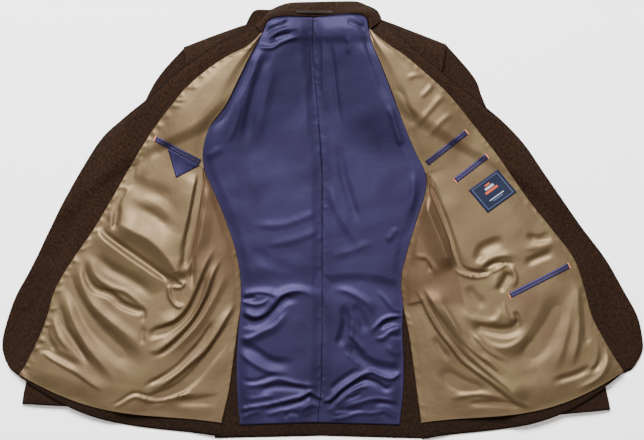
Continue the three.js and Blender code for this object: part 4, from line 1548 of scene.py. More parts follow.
@dataclass(frozen=True)
class SatinFinish:
    """Viscose satin lining: long warp floats that give broad soft gleams along the folds.

    painted_shade is a darker colour painted on as shade, and painted_shade_from says how far up the garment
    it is full and where it ends.
    """

    name: str
    light: str
    mid: str
    painted_shade: str | None = None
    painted_shade_from: tuple[float, float] = (-0.14, -0.15)
    roughness: float = 0.53
    lustre: float = 0.7
    anisotropy: float = 0.4
    thread: float = 0.00045

    def material(self) -> Material:
        """Makes the satin: fine warp lines, faint slubs and a shifting tone."""
        s = Shader(self.name)
        place, u, _ = s.cloth()
        warp = s.waves(u, self.thread)
        stretch = s.add("Mapping", {"Vector": place, "Scale": (1.0, 0.12, 1.0)}).outputs[0]
        slub = s.noise(stretch, 900, 2, 0.6)
        crinkle = s.noise(place, 85, 3, 0.55)
        tone = s.noise(place, 12, 2)
        colour = s.ramp(tone, [(0.3, self.mid), (0.72, self.light)])
        threads = s.ramp(slub, [(0.25, (0.93, 0.93, 0.93)), (0.75, (1.04, 1.04, 1.04))])
        colour = s.blend(1.0, colour, threads, "MULTIPLY")
        # Painted shade: a darker colour blended in by height, full above the first height and gone below the
        # second.
        if self.painted_shade:
            height = s.add("SeparateXYZ", {0: s.add("TexCoord").outputs["Object"]}).outputs[1]
            full, none = self.painted_shade_from
            part = s.add("MapRange", {0: height, 1: none, 2: full, 3: 0.0, 4: 1.0}).outputs[0]
            colour = s.blend(part, colour, self.painted_shade)
        soft = s.bump(crinkle, 0.35, 0.0011)
        weave = s.bump(s.scaled(warp, 0.4, slub), 0.2, 0.00006, soft)
        rough = s.scaled(slub, 0.08, self.roughness - 0.04)
        s.surface(Base_Color=colour, Roughness=rough, IOR=1.53, Specular_IOR_Level=0.3, Normal=weave)
        tangent = s.add("Tangent", direction_type="UV_MAP", uv_map="Cloth").outputs[0]
        s.surface(Anisotropic=self.anisotropy, Tangent=tangent)
        s.surface(Metallic=self.lustre, Sheen_Weight=0.06, Sheen_Roughness=0.4, Sheen_Tint=self.light)
        return s.material


@dataclass(frozen=True)
class ThreadFinish:
    """Twisted sewing thread with a silky highlight."""

    name: str
    colour: str
    shade: str

    def material(self) -> Material:
        """Makes the thread: a slanting twist in tone and height."""
        s = Shader(self.name)
        place = s.add("TexCoord").outputs["Object"]
        inputs = {"Vector": place, "Scale": 900.0, "Distortion": 2.0}
        twist = s.add("TexWave", inputs, wave_type="BANDS", bands_direction="DIAGONAL").outputs[1]
        colour = s.blend(twist, self.shade, self.colour)
        s.surface(Base_Color=colour, Roughness=0.45, IOR=1.5, Normal=s.bump(twist, 0.4, 0.0001))
        s.surface(Sheen_Weight=0.2, Sheen_Roughness=0.4)
        return s.material


@dataclass(frozen=True)
class WebbingFinish:
    """Narrow plain-woven tape with a dry, slightly ribbed face."""

    name: str
    colour: str
    shade: str
    rib: float = 0.0009
    pick_share: float = 0.7

    def material(self) -> Material:
        """Makes the tape: crossing ribs and a dusty variation."""
        s = Shader(self.name)
        place, u, v = s.cloth()
        weave = s.math("MULTIPLY", s.waves(u, self.rib), s.waves(v, self.rib * self.pick_share))
        dust = s.noise(place, 240, 3)
        colour = s.blend(dust, self.shade, self.colour)
        s.surface(Base_Color=colour, Roughness=0.72, IOR=1.46, Normal=s.bump(weave, 0.4, 0.0001))
        s.surface(Sheen_Weight=0.04, Specular_IOR_Level=0.15)
        return s.material


@dataclass(frozen=True)
class HornFinish:
    """Polished horn: brown with paler streaks and a soft gloss."""

    name: str = "horn"
    dark: str = "241710"
    streak: str = "5C4029"

    def material(self) -> Material:
        """Makes the horn: long streaks and small scratches."""
        s = Shader(self.name)
        place = s.add("TexCoord").outputs["Object"]
        long = s.add("Mapping", {"Vector": place, "Scale": (1.0, 0.25, 1.0)}).outputs[0]
        streak = s.noise(long, 260, 4, 0.6)
        colour = s.ramp(streak, [(0.4, self.dark), (0.68, self.streak)])
        scratch = s.noise(place, 1500, 2)
        rough = s.scaled(scratch, 0.2, 0.22)
        s.surface(Base_Color=colour, Roughness=rough, IOR=1.54, Normal=s.bump(scratch, 0.1, 0.00005))
        return s.material


@dataclass(frozen=True)
class LabelFinish:
    """Damask label: navy ground, a thin frame and a plain motif of stacked bars over two thin lines."""

    name: str = "label_weave"
    ground: str = "0A1022"
    frame: str = "4A5270"
    pale: str = "8C90A0"
    accent: str = "9A4422"
    ground_fleck: str = "0E152C"
    threads: tuple[float, float] = (130, 110)

    def bar(self, s: Shader, u, v, low: tuple[float, float], high: tuple[float, float]):
        """1 within a box of the label, 0 outside it."""
        sides = zip((u, v), low, high)
        spans = [(s.math("GREATER_THAN", w, a), s.math("LESS_THAN", w, b)) for w, a, b in sides]
        return s.math("MULTIPLY", *(s.math("MULTIPLY", *span) for span in spans))

    def material(self) -> Material:
        """Makes the label's weave and its plain motif."""
        s = Shader(self.name)
        place, u, v = s.cloth()
        warp, weft = self.threads
        weave = s.math("MULTIPLY", s.waves(u, 1 / warp), s.waves(v, 1 / weft))
        colour = s.blend(s.noise(place, 60, 3), self.ground, self.ground_fleck)
        outer = self.bar(s, u, v, (0.07, 0.07), (0.93, 0.93))
        inner = self.bar(s, u, v, (0.09, 0.09), (0.91, 0.91))
        colour = s.blend(s.math("MULTIPLY", s.math("SUBTRACT", outer, inner), 0.6), colour, self.frame)
        for low, high, tone in (
            ((0.30, 0.52), (0.70, 0.60), self.accent),
            ((0.36, 0.64), (0.64, 0.72), self.pale),
            ((0.42, 0.76), (0.58, 0.82), self.accent),
            ((0.26, 0.28), (0.74, 0.31), self.pale),
            ((0.34, 0.21), (0.66, 0.235), self.frame),
        ):
            colour = s.blend(self.bar(s, u, v, low, high), colour, tone)
        s.surface(Base_Color=colour, Roughness=0.6, IOR=1.5, Normal=s.bump(weave, 0.3, 0.00012))
        s.surface(Specular_IOR_Level=0.15, Sheen_Weight=0.04, Sheen_Roughness=0.4)
        return s.material


@dataclass(frozen=True)
class FloorFinish:
    """A plain pale studio sweep."""

    name: str = "studio_floor"
    colour: str = "FFFFFF"

    def material(self) -> Material:
        """Makes the matt floor with a faint grain."""
        s = Shader(self.name)
        place = s.add("TexCoord").outputs["Object"]
        grain = s.noise(place, 400, 2)
        s.surface(Base_Color=self.colour, Roughness=0.9, Normal=s.bump(grain, 0.02, 0.0002))
        return s.material


RIGHT_FRONT_FOLDS = read_folds("""
Ridge under the big hollow
4.5 6 36 1 0.12 0.25 | -388,-8 -378,-27 -352,-48 -325,-68 -297,-87 -271,-106 -263,-122
Big hollow
-3 7.5 9 0.8 0.18 0.15 | -383,-15 -351,-39 -321,-60 -294,-79 -266,-98 -254,-104
Lobe over the hollow
8.5 45 33 1 0.25 0.12 | -363,1 -326,-17 -294,-34 -271,-56 -254,-79 -242,-103
-3.6 9 7.5 1 0.5 0.2 | -352,35 -353,7 -357,-17
1.3 10.5 9 1 0.4 | -366,21 -363,-3 -375,-15
Bank beside the panel seam
5.5 9 39 1 0.15 0.25 | -213,83 -222,52 -230,14 -239,-25 -249,-65
2.4 21 15 1 0.2 | -196,64 -201,18 -208,-25 -220,-72
Fold along the panel seam
-6 10.5 9 0.8 0.12 0.12 | -206,87 -209,73 -215,45 -221,7 -227,-25 -235,-65 -242,-89
-2.4 6 7.5 0.9 | -297,131 -308,117 -316,102
1.6 10.5 13.5 1 0.3 0.4 | -283,121 -297,93 -314,66
-2.6 6 7.5 0.9 | -320,93 -330,74 -337,57
-2.8 6 6 0.9 | -338,56 -349,37 -354,21
1.1 7.5 9 | -326,62 -338,38 -347,14
3 24 10.5 | -201,26 -209,-17 -218,-60 -223,-94
-2.5 7.5 7.5 1 0.4 0.4 | -218,-51 -223,-89 -222,-123
2.6 5.2 5.2 1 0.2 0.2 | -254,-92 -244,-104 -237,-108 -244,-114 -254,-114 -259,-110
3.2 6 5.2 1 0.15 0.2 | -263,-108 -263,-123 -258,-137 -247,-147 -237,-142
First sweeping drape
5.5 9 22.5 1 0.3 0.2 | -182,-39 -196,-65 -208,-91 -220,-123 -232,-147 -249,-166 -271,-176 -292,-180
-4.5 10.5 12 0.8 0.3 0.15 | -194,-82 -206,-110 -216,-134 -230,-159 -252,-180 -283,-192 -304,-199
Second sweeping drape
5.5 7.5 13.5 1 0.2 0.2 | -173,-61 -189,-92 -204,-132 -223,-166 -246,-192 -270,-213 -287,-223 -304,-218
-2.6 6 6 | -184,-101 -201,-141 -223,-178 -251,-209 -275,-227 -299,-235
3 13.5 9 | -163,-82 -184,-128 -209,-171 -240,-206 -270,-233
Third sweeping drape
5 7.5 13.5 1 0.2 0.2 | -146,-135 -165,-165 -184,-196 -204,-223 -227,-244 -247,-261 -266,-275 -282,-285 \
    -301,-290
-2.8 6 6 1 0.2 0.2 | -185,-168 -204,-201 -227,-228 -247,-249 -271,-266 -295,-278 -309,-287
-4.5 16.5 10.5 0.9 0.25 0.15 | -158,-175 -179,-209 -201,-240 -225,-268 -251,-288 -277,-299 -306,-307
3.4 7.5 7.5 1 0.2 0.2 | -216,-295 -246,-300 -271,-306 -297,-307 -318,-300 -332,-304 -349,-314 -366,-316
-2.6 6 6 1 0.3 0.2 | -228,-292 -259,-299 -283,-304 -301,-302 -320,-297 -333,-302 -351,-313 -369,-318
-1.8 12 12 1 0.3 0.2 | -259,-311 -211,-309 -170,-306
Jump pleat at the hem
2.2 22.5 4.5 1 0.15 0.2 | -483,-220 -469,-233 -449,-245 -424,-259 -407,-271 -390,-283 -373,-294
-2.4 13.5 13.5 1 0.2 | -486,-206 -466,-225 -435,-242 -411,-256
Soft bands
3.2 15 16.5 0.9 0.25 | -418,-72 -411,-111 -395,-142 -363,-171 -326,-201 -304,-223
-3.4 24 27 0.8 | -428,-72 -423,-120 -400,-171 -352,-220 -297,-257
3.6 18 15 0.9 | -442,-111 -430,-158 -406,-209 -373,-251 -352,-278
-3 9 10.5 | -452,-137 -443,-178 -421,-213 -395,-251
2.2 9 9 | -464,-158 -452,-196 -428,-227
-2.4 7.5 7.5 | -474,-175 -471,-202 -452,-225
-3.4 9 9 0.9 0.2 0.15 | -407,-68 -404,-96 -390,-116 -363,-127 -345,-142 -320,-153 -302,-153
2.4 10.5 7.5 | -400,-60 -388,-94 -363,-113 -337,-122 -313,-141 -295,-159
-2 16.5 15 0.9 | -395,-48 -366,-80 -323,-103 -280,-135
-1.2 6 6 | -309,-147 -306,-161 -309,-175
-1.2 9 9 | -304,-180 -309,-196 -308,-214
-1.4 21 24 1 0.4 0.4 | -352,78 -297,52 -246,35
-1.8 18 18 1 0.4 | -340,26 -297,9 -259,-20
1.6 18 18 1 0.4 0.4 | -314,42 -280,25 -249,-3
""")

LEFT_FRONT_FOLDS = read_folds("""
Lobe over the long crease
7.5 36 13.5 1 0.15 0.12 | 171,-110 190,-142 210,-175 233,-206 258,-233 286,-259 317,-287 348,-313
Long curved crease
4.6 9 5.1 1 0.12 0.1 | 160,-118 169,-132 181,-158 198,-187 219,-214 239,-239 262,-257 288,-276 313,-295 \
    336,-311 358,-323
-3.2 7.5 7.5 1 0.2 | 188,-137 205,-170 229,-202 255,-228 289,-256 325,-285
3.6 9 9 | 191,-120 212,-156 234,-190 264,-221 298,-249 325,-268
-2.6 7.5 7.5 | 224,-175 241,-199 262,-220 288,-239
2.6 9 9 1 0.3 0.4 | 246,-182 264,-201 281,-220 301,-233 325,-244
Crescent ridge
2.8 9 24 1 0.2 0.25 | 250,-192 269,-202 288,-213 307,-217 325,-213 341,-201 355,-180
Hollow over the crescent
-3.6 15 13.5 0.8 0.2 0.2 | 253,-175 284,-184 310,-190 329,-184 337,-166
3 12 21 1 0.25 0.2 | 233,-147 250,-165 270,-173 289,-173 301,-163 301,-144
-1.4 13.5 13.5 | 246,-111 262,-134 282,-147
Bank beside the fold under the arm
1.6 36 4.5 1 0.12 0.15 | 184,83 196,57 207,28 219,-3 231,-37 241,-63 253,-80
8.5 18 33 1 0.2 0.15 | 153,83 164,52 178,21 191,-10 203,-39 212,-65 222,-85
Fold under the arm
-3.5 7.5 6 0.8 0.1 0.2 | 174,90 181,62 193,35 208,-1 221,-39 229,-67 241,-84 264,-90 291,-89 310,-82
2.2 5.2 6 1 0.2 0.2 | 222,-79 239,-91 264,-96 293,-87 313,-75 327,-80
2.8 13.5 7.5 1 0.2 | 264,-87 277,-72 296,-62 319,-60 332,-67
-2.2 13.5 13.5 0.9 0.2 | 267,-75 270,-53 288,-41 315,-34
-1.8 6 6 1 0.2 0.2 | 276,-84 294,-73 315,-73 329,-73
-3 9 9 0.8 0.2 0.2 | 320,-87 312,-103 301,-122
2.6 7.5 6 1 0.2 | 320,-77 329,-96 324,-116
1.4 9 9 1 0.2 | 310,-79 296,-101 293,-120
1.8 6 6 | 308,-137 313,-158 322,-175
-2 6 6 | 327,-154 334,-168 329,-182
-2.2 10.5 10.5 | 346,-24 370,-32 393,-22
1.6 10.5 10.5 | 339,-48 374,-44 403,-37
-2.2 10.5 10.5 | 343,-75 370,-63 398,-53
1.4 7.5 7.5 | 391,1 401,-25 411,-48
3.4 9 16.5 1 0.2 | 442,-99 437,-137 439,-173 434,-216 423,-254
-2.8 9 9 | 449,-134 454,-175 449,-216
-2.4 7.5 7.5 | 473,-192 479,-221 472,-247 454,-263
2.6 9 9 | 484,-202 489,-233 477,-263 454,-280 430,-290
-3.4 30 33 0.8 | 411,-110 403,-154 382,-197 350,-225 312,-225
1.8 13.5 13.5 | 429,-111 422,-163 411,-214 394,-261
Seam of the hem facing
-0.5 2.4 2.4 1 0.1 0.1 | 350,-233 374,-276 386,-304
-2.2 19.5 18 0.9 | 196,-254 239,-283 288,-297
2.2 9 7.5 | 215,-306 267,-297 315,-306
-1.8 7.5 7.5 | 245,-314 301,-313 343,-319
Step seam over the vent
1.5 13.5 2.4 1 0.05 0.2 | 138,-145 157,-141 174,-136
-1.8 9 9 | 389,-276 434,-263 463,-247
1.4 13.5 13.5 | 167,26 162,-34 155,-85
-1.4 7.5 7.5 | 169,-61 179,-72 186,-89
1.6 9 9 | 153,-60 176,-65 198,-94
-1.2 9 9 | 188,-197 202,-220 219,-240
1.6 7.5 9 | 140,241 159,248 178,248
1.8 7.5 7.5 | 164,207 181,224 191,238
1.8 10.5 9 | 152,152 176,181 202,210 222,221
1.4 9 9 | 176,138 202,169 227,186
-1.6 12 12 | 126,233 141,193 159,159
""")

RIGHT_BACK_FOLDS = read_folds("""
2.6 13.5 4.5 1 0.1 | -148,-134 -130,-126 -111,-123 -93,-125 -75,-132
-3 4.5 4.5 1 0.1 | -148,-133 -130,-134 -113,-130
2.6 4.5 7.5 1 0.1 | -142,-137 -122,-143 -103,-141 -89,-128
Curled fold
4.2 15 7.5 1 0.1 | -142,-153 -132,-159 -115,-165 -96,-158 -82,-142 -72,-130 -53,-121 -31,-122 \
    -12,-132
-5 10.5 12 0.8 0.1 0.25 | -146,-171 -118,-176 -98,-168 -80,-149 -62,-135 -34,-132
1.8 4.5 4.5 1 0.1 | -146,-182 -132,-178 -122,-184
3.6 7.5 15 1 0.15 | -146,-202 -125,-201 -103,-190 -82,-180 -65,-161 -55,-151
-2.8 12 12 1 0.2 | -146,-211 -118,-223 -87,-242 -46,-245
2.2 9 9 1 0.2 | -146,-225 -118,-245 -89,-259 -53,-261
-1.8 6 7.5 1 0.2 | -142,-273 -117,-276 -94,-268 -72,-261
2.6 9 6 1 0.2 0.15 | -137,-285 -101,-280 -74,-273 -39,-282 -7,-284
-3 7.5 10.5 1 0.2 0.2 | -115,-295 -87,-285 -56,-285 -19,-288
1.8 6 6 | -134,-307 -108,-304 -79,-299
Hem drape
3.8 7.5 5.2 1 0.1 0.05 | -148,-326 -122,-321 -91,-316 -56,-307 -36,-302 -22,-294 -12,-300 0,-308
-4.4 6 9 0.9 0.2 0.05 | -105,-325 -70,-318 -39,-310 -24,-302 -12,-308 0,-314
1.6 6 6 1 0.2 0.2 | -142,-340 -122,-331 -105,-326
1.8 4.5 6 1 0.2 0.2 | -98,-335 -74,-326 -53,-325
-2 6 6 1 0.2 0.2 | -67,-340 -56,-330 -39,-333
2 4.5 6 1 0.2 0.1 | -39,-326 -19,-316 -1,-319
Arched hollow
-2.8 36 18 0.9 0.2 0.05 | -142,-115 -105,-113 -56,-108 -1,-111
3.2 6 4.5 1 0.1 0.15 | -105,329 -91,334 -74,339 -58,350
3.2 6 4.5 1 0.2 | -91,310 -77,322 -58,328 -39,326
3.2 6 6 1 0.2 | -115,298 -89,295 -72,304 -53,311 -34,315
-2.8 4.5 4.5 1 0.2 | -84,312 -68,317 -51,320
-2.4 4.5 4.5 1 0.2 | -99,317 -82,331 -56,338
Long pleat
-4.6 12 13.5 0.8 0.15 | -91,293 -106,252 -117,210 -127,167 -137,121
1.6 15 12 1 0.3 0.4 | -80,276 -94,224 -105,173 -115,121
-3.4 15 16.5 0.9 0.2 | -122,283 -141,238 -161,200 -184,148
1.8 9 9 | -139,207 -149,164 -163,130
1.6 10.5 12 1 0.4 0.4 | -206,104 -187,116 -166,126
1.6 6 6 1 0.2 | -185,186 -168,195 -158,202
-2.4 4.5 6 1 0.15 | -13,324 -17,284 -15,241 -10,190
1 12 12 | -25,276 -29,207 -31,121
1.4 18 18 1 0.4 0.4 | -125,104 -117,61 -118,9
1.2 13.5 13.5 1 0.4 0.4 | -156,87 -149,35 -136,-17
1.6 13.5 12 1 0.3 0.1 | -125,-8 -65,-6 -12,14
1.3 13.5 12 1 0.3 0.1 | -105,-42 -53,-34 -8,-17
-1 15 15 | -134,-34 -91,-72 -39,-79
""")

LEFT_BACK_FOLDS = read_folds("""
Hem drape
3.8 7.5 5.2 1 0.05 0.1 | 0,-308 7,-310 16,-304 30,-290 50,-276 67,-265 85,-260 102,-268 119,-271 \
    138,-259
-4.4 6 9 0.9 0.05 0.2 | 0,-314 11,-315 23,-306 38,-293 57,-280 74,-273 92,-278 109,-288 126,-278
-2.4 7.5 7.5 1 0.2 | 12,-295 24,-280 47,-264 67,-252
2.2 6 6 1 0.2 | 16,-321 38,-299 55,-289 73,-285 86,-294
-2 4.5 4.5 1 0.2 | 38,-307 55,-302 69,-295
2.4 6 6 1 0.2 0.2 | 36,-319 61,-313 85,-306 107,-307 126,-314
-2.4 7.5 7.5 1 0.2 0.2 | 85,-314 112,-314 135,-325
1.8 6 4.5 1 0.2 0.2 | 7,-343 38,-338 61,-331 85,-331 112,-326
-2.2 6 6 1 0.2 0.2 | 98,-330 112,-340 129,-347
-1.8 6 6 1 0.2 | 21,-326 47,-326 73,-323
1.4 4.5 4.5 1 0.2 | 19,-333 33,-328 47,-331
-3.4 12 12 0.9 0.3 0.2 | 33,-141 40,-171 33,-199 24,-218
-2.8 13.5 12 0.9 | 50,-141 66,-168 74,-196
1.6 7.5 7.5 | 47,-168 50,-189 47,-206
Arch ridge
2.8 12 10.5 | 12,-120 38,-120 64,-132 81,-146 88,-168
3.4 7.5 6 1 0.08 | 140,-166 122,-164 105,-168 92,-180 79,-194
-5.5 6.8 6.8 0.8 0.05 | 140,-171 121,-173 107,-178 95,-187
2.6 9 6 1 0.1 | 138,-184 117,-190 102,-201 85,-202
1.8 7.5 7.5 1 0.15 | 136,-159 122,-151 107,-135 90,-116
2.4 7.5 7.5 | 43,-192 59,-208 74,-227
-3.8 13.5 13.5 0.9 0.2 0.15 | 42,-209 62,-233 93,-251 136,-257
1.4 4.5 4.5 | 36,-225 54,-239 69,-252
1.4 9 9 | 107,-214 124,-227 138,-227
-1.6 6 6 1 0.3 0.1 | 112,-196 126,-199 138,-199
Arched hollow
-2.8 18 36 0.9 0.05 0.2 | -1,-111 47,-106 95,-110 136,-123
-2 7.5 7.5 1 0.2 | 12,307 18,259 24,207 31,155
1.4 6 6 1 0.2 | -1,320 0,276 0,207
-2.6 12 12 0.9 0.2 | 74,317 86,279 100,234 112,200
1.8 10.5 10.5 | 42,317 45,300 42,283
-2.4 6 6 1 0.2 0.2 | 40,341 57,334 73,327
2.2 4.5 4.5 1 0.2 0.2 | 50,350 61,341 71,336
3 10.5 9 1 0.3 0.2 | 109,203 122,169 135,124
2.4 10.5 10.5 | 153,87 155,49 147,9
-2.6 12 12 1 0.3 0.2 | 26,130 36,76 49,31 61,-6
2.2 13.5 13.5 | 6,69 24,21 49,-24 61,-51
2 10.5 10.5 | 107,-37 119,-24 129,-10
-1 18 18 | 85,173 85,104 90,35
-1.2 12 12 | 140,-8 133,-42 129,-77
1.4 13.5 13.5 | 12,-61 50,-51 90,-34
""")


@dataclass(frozen=True)
class Cut:
    """What one piece was cut to, in metres, what it lies on and what is sewn on it."""

    node: str
    width: float
    length: float
    area: float
    rests_on: tuple[str, ...] = ()
    carries: tuple[str, ...] = ()


def jets(*pockets: str) -> tuple[str, ...]:
    """Names of the pieces of jetted pockets."""
    return tuple(f"{pocket}_{part}" for pocket in pockets for part in ("upper", "lower", "tacks"))


CUTS = (
    Cut("back_r", 0.23, 0.72, 0.127),
    Cut("back_l", 0.23, 0.73, 0.122),
    Cut("under_sleeve_r", 0.18, 0.67, 0.092),
    Cut("under_sleeve_l", 0.19, 0.69, 0.096),
    Cut("top_sleeve_r", 0.18, 0.67, 0.092, ("under_sleeve_r",)),
    Cut("top_sleeve_l", 0.19, 0.69, 0.096, ("under_sleeve_l",)),
    Cut("collar_fall", 0.05, 0.24, 0.010),
    Cut("collar_stand", 0.055, 0.22, 0.0059, ("collar_fall",), ("hanger_loop",)),
    Cut("side_body_r", 0.15, 0.46, 0.043, ("back_r", "top_sleeve_r")),
    Cut("side_body_l", 0.155, 0.46, 0.043, ("back_l", "top_sleeve_l")),
    Cut("lapel_r", 0.085, 0.41, 0.023, ("shoulder_r", "top_sleeve_r"), ("lapel_roll_r",)),
    Cut("lapel_l", 0.075, 0.40, 0.021, ("shoulder_l", "top_sleeve_l"), ("lapel_roll_l",)),
    Cut("forepart_r", 0.28, 0.73, 0.140, ("top_sleeve_r", "lapel_r", "shoulder_r")),
    Cut("forepart_l", 0.28, 0.74, 0.138, ("top_sleeve_l", "lapel_l", "shoulder_l")),
    Cut("facing_r", 0.13, 0.73, 0.040, ("forepart_r",)),
    Cut("facing_l", 0.10, 0.74, 0.034, ("forepart_l",)),
    Cut("front_lining_r", 0.23, 0.72, 0.104, ("forepart_r",), jets("breast_jet_r")),
    Cut(
        "front_lining_l", 0.23, 0.74, 0.106, ("forepart_l",),
        jets("breast_jet_l", "pen_jet_l", "ticket_jet_l"),
    ),
    Cut("side_lining_r", 0.15, 0.45, 0.043, ("side_body_r",)),
    Cut("side_lining_l", 0.15, 0.45, 0.041, ("side_body_l",)),
    Cut("back_lining_r", 0.21, 0.71, 0.110, ("back_r", "shoulder_r")),
    Cut("back_lining_l", 0.20, 0.71, 0.104, ("back_l", "shoulder_l")),
    Cut("pocket_tab_r", 0.04, 0.063, 0.0013, ("front_lining_r",)),
    Cut("label_l", 0.05, 0.065, 0.0032, ("front_lining_l",), ("label_stitches",)),
)


class Cloth(Enum):
    """Finishes by the thing that they dress."""

    TWEED = "tweed"
    INSIDE = "tweed_inside"
    CHAMPAGNE = "champagne_satin"
    SIDE_RIGHT = "champagne_side_r"
    SIDE_LEFT = "champagne_side_l"
    BLUE = "blue_satin"
    JET = "jet_satin"
    LABEL = "label_weave"
    LOOP = "loop_weave"
    HORN = "button_horn"
    TACK = "tack_thread"
    EDGE = "label_thread"
    ROLL = "pressed_roll"


def make_wardrobe() -> dict[Cloth, Material]:
    """Makes the material of each cloth, once.

    Returns:
        The materials under their cloths.
    """
    finishes = {
        Cloth.TWEED: TweedFinish("brown_tweed", "1C110A", "050302", "321D0E", "46311F"),
        Cloth.INSIDE: TweedFinish("tweed_reverse", "190F09", "040201", "2B1A0C", "3E2B1B"),
        Cloth.CHAMPAGNE: SatinFinish("champagne_satin", "69593F", "5C4A36"),
        # Side linings: the fourth colour is painted shade, darkening each panel's upper part under the arm.
        Cloth.SIDE_RIGHT: SatinFinish("champagne_side_right", "67573E", "5A4835", "523F2C", (0.02, -0.2)),
        Cloth.SIDE_LEFT: SatinFinish("champagne_side_left", "67573E", "5A4835", "54412E"),
        # Blue back lining: 1C1833 is painted shade, darkening the satin up towards the neck as under the
        # collar.
        Cloth.BLUE: SatinFinish("violet_blue_satin", "2A2444", "211C37", "1C1833", (0.34, 0.04), 0.56),
        Cloth.JET: SatinFinish("jet_satin", "252144", "1D1936"),
        Cloth.LABEL: LabelFinish(),
        Cloth.LOOP: WebbingFinish("loop_tape", "20160F", "150E09"),
        Cloth.HORN: HornFinish(),
        Cloth.TACK: ThreadFinish("orange_thread", "E88A5E", "C96A40"),
        Cloth.EDGE: ThreadFinish("navy_thread", "2A3660", "182142"),
        # Near-black tweed for the roll tube: painted shadow along the lapel's roll line, where the facing
        # meets the shoulder.
        Cloth.ROLL: TweedFinish("pressed_tweed", "0A0604", "020101", "120A05", "1C120A"),
    }
    return {cloth: finish.material() for cloth, finish in finishes.items()}


@dataclass
class Blazer:
    """The whole garment: builds each sub-assembly in order and dresses it."""

    wardrobe: dict[Cloth, Material]
    made: dict[str, Piece] = field(default_factory=dict)
    surfaces: dict[str, Surface] = field(default_factory=dict)

    def keep(self, node: str, piece: Piece, cloth: Cloth) -> None:
        """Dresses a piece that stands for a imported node.

        Args:
            node: Name of the node.
            piece: The piece.
            cloth: Its finish.
        """
        self.add(node, piece, cloth)
        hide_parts(node)

    def add(self, name: str, piece: Piece, cloth: Cloth) -> None:
        """Gives a piece its cloth and its place on the body."""
        piece.data.materials.append(self.wardrobe[cloth])
        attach(piece, BODY)
        self.made[name] = piece
        LOG.info("%s: %d faces", piece.name, len(piece.data.polygons))

    def tweed(self) -> None:
        """Builds everything in tweed."""
        for half in HALVES:
            self.keep(half.name("back"), BackCloth(half).build(), Cloth.INSIDE)
            for node, piece in Sleeve(half).build().items():
                self.keep(node, piece, Cloth.TWEED)
            self.keep(half.name("shoulder"), Shoulder(half).build(), Cloth.TWEED)
            for node, piece in FrontCloth(half).build().items():
                inside = node.startswith(("forepart", "side_body"))
                self.keep(node, piece, Cloth.INSIDE if inside else Cloth.TWEED)
            # The roll tube is dressed in near-black tweed as a painted shadow along the roll line.
            self.add(half.name("lapel_roll"), RolledEdge(half).build(), Cloth.ROLL)
        for node, piece in Collar().build().items():
            self.keep(node, piece, Cloth.LOOP if node == "hanger_loop" else Cloth.TWEED)

    def linings(self) -> None:
        """Builds the satin panels."""
        ripples = (Ripple(0.5, 95, 1), Ripple(0.22, 38, 2))
        facing_r, facing_l = (Pucker(11, 1.9, 16, 5),), (Pucker(9, 0.8, 12, 6),)
        seam_r, seam_l = (Pucker(12, 0.7, 10, 15),), (Pucker(12, 0.7, 10, 16),)
        right, left = RIGHT_FRONT_FOLDS, LEFT_FRONT_FOLDS
        front, side = (Panel.FRONT, FRONT_TOP, FRONT_PUFF), (Panel.SIDE, ARMPIT_ROW, SIDE_PUFF)
        plans = (
            (Lining(RIGHT, *front, right, ripples, facing_r), Cloth.CHAMPAGNE),
            (Lining(RIGHT, *side, right, ripples, (), seam_r), Cloth.SIDE_RIGHT),
            (Lining(LEFT, *front, left, ripples, facing_l), Cloth.CHAMPAGNE),
            (Lining(LEFT, *side, left, ripples, (), seam_l), Cloth.SIDE_LEFT),
        )
        for plan, cloth in plans:
            piece = plan.build()
            self.keep(plan.node, piece, cloth)
            self.surfaces[plan.node] = Surface(plan.grid)
        folds = RIGHT_BACK_FOLDS + LEFT_BACK_FOLDS
        for half in HALVES:
            middle = (Pucker(11, 0.7, 12, 8 + half.outward),)
            self.keep(half.name("back_lining"), BackLining(half, folds, ripples, middle).build(), Cloth.BLUE)

    def trim(self) -> None:
        """Lays the pockets, tab and label on the linings and sews them."""
        right, left = self.surfaces["front_lining_r"], self.surfaces["front_lining_l"]
        for surface, pocket in (
            (right, Pocket("breast_jet_r", (-286, 140), (-210, 100), (True, False))),
            (left, Pocket("breast_jet_l", (245, 151), (178, 98), (True, False))),
            (left, Pocket("pen_jet_l", (280, 110), (227, 69))),
            (left, Pocket("ticket_jet_l", (421, -77), (320, -128))),
        ):
            for node, piece in pocket.build(surface).items():
                self.keep(node, piece, Cloth.JET)
            tacks = Stitches(f"{pocket.name}_tacks", surface)
            pocket.sew(tacks)
            self.add(tacks.name, tacks.build(), Cloth.TACK)
        tab = PocketTab()
        self.keep("pocket_tab_r", tab.build(right), Cloth.JET)
        label = Label()
        self.keep("label_l", label.build(left), Cloth.LABEL)
        edge = Stitches("label_stitches", left)
        label.sew(Thread(2.2, 0.8, 0.22), edge)
        self.add(edge.name, edge.build(), Cloth.EDGE)
        for button in BUTTONS:
            self.keep(button.name, ButtonForm(button).build(), Cloth.HORN)

    def build(self) -> None:
        """Builds the garment in the order that it is sewn."""
        self.tweed()
        self.linings()
        self.trim()


@dataclass(frozen=True)
class Softbox:
    """One studio light: where it hangs, its size in metres and its power in watts."""

    name: str
    place: tuple[float, float, float]
    size: tuple[float, float]
    power: float
    colour: str = "FFFFFF"

    def hang(self) -> None:
        """Makes the light and turns it to the garment."""
        data = bpy.data.lights.new(self.name, "AREA")
        data.shape = "RECTANGLE"
        data.size, data.size_y = self.size
        data.energy = self.power
        data.color = srgb(self.colour)[:3]
        light = bpy.data.objects.new(self.name, data)
        bpy.context.scene.collection.objects.link(light)
        light.location = self.place
        x, y, z = self.place
        light.rotation_euler = (math.atan2(math.hypot(x, y), z), 0, math.atan2(x, -y))


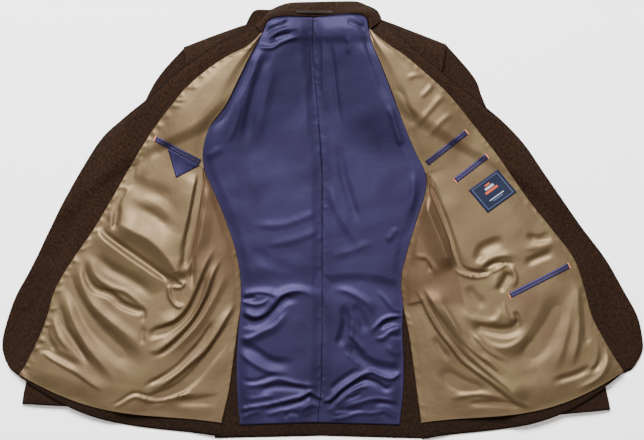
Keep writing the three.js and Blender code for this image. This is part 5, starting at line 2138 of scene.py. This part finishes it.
@dataclass(frozen=True)
class Studio:
    """The floor, the camera straight above and the soft lights."""

    camera_height: float = 3.0
    image_width: float = 644.0
    mm_per_pixel: float = 1.72
    sensor: float = 36.0
    centre: tuple[float, float] = (-0.0009, 0.0003)
    floor_size: float = 12.0
    floor_gap: float = 0.0004
    lights: tuple[Softbox, ...] = (
        Softbox("key", (-0.8, 3.2, 3.4), (3.2, 2.2), 1000),
        Softbox("top", (0.2, -0.2, 3.9), (1.4, 1.0), 70),
        Softbox("low_fill", (0.2, -2.6, 1.7), (2.6, 1.2), 16, "DDB48C"),
    )
    ambient: float = 0.08

    def floor(self) -> None:
        """Lays the pale floor."""
        half = self.floor_size / 2
        data = bpy.data.meshes.new("studio_floor")
        corners = [(-half, -half, 0), (half, -half, 0), (half, half, 0), (-half, half, 0)]
        data.from_pydata(corners, [], [(0, 1, 2, 3)])
        piece = bpy.data.objects.new("studio_floor", data)
        bpy.context.scene.collection.objects.link(piece)
        piece.location.z = -self.floor_gap
        data.materials.append(FloorFinish().material())

    def camera(self) -> None:
        """Hangs the camera over the middle of the picture."""
        data = bpy.data.cameras.new("camera")
        span = self.image_width * self.mm_per_pixel * MM
        data.sensor_width = self.sensor
        data.lens = self.sensor * self.camera_height / span
        camera = bpy.data.objects.new("camera", data)
        bpy.context.scene.collection.objects.link(camera)
        camera.location = (*self.centre, self.camera_height)
        bpy.context.scene.camera = camera

    def world(self) -> None:
        """Sets the even light of a white room."""
        world = bpy.data.worlds.new("white_room")
        bpy.context.scene.world = world
        world.use_nodes = True
        back = world.node_tree.nodes["Background"]
        back.inputs["Color"].default_value = (1, 1, 1, 1)
        back.inputs["Strength"].default_value = self.ambient

    def build(self) -> None:
        """Sets up the whole studio."""
        self.floor()
        self.camera()
        self.world()
        for light in self.lights:
            light.hang()


def declare_cloth(blazer: Blazer) -> None:
    """Looks up the pieces that each cut carries and each shoulder's piece, and keeps nothing.

    Args:
        blazer: The built garment.
    """
    for cut in CUTS:
        riding = [blazer.made[name] for name in cut.carries]
        list(cut.rests_on)
    for half in HALVES:
        blazer.made[half.name("shoulder")]


def main() -> None:
    """Builds the studio and the garment."""
    Studio().build()
    blazer = Blazer(make_wardrobe())
    blazer.build()
    declare_cloth(blazer)


if __name__ == "__main__":
    main()
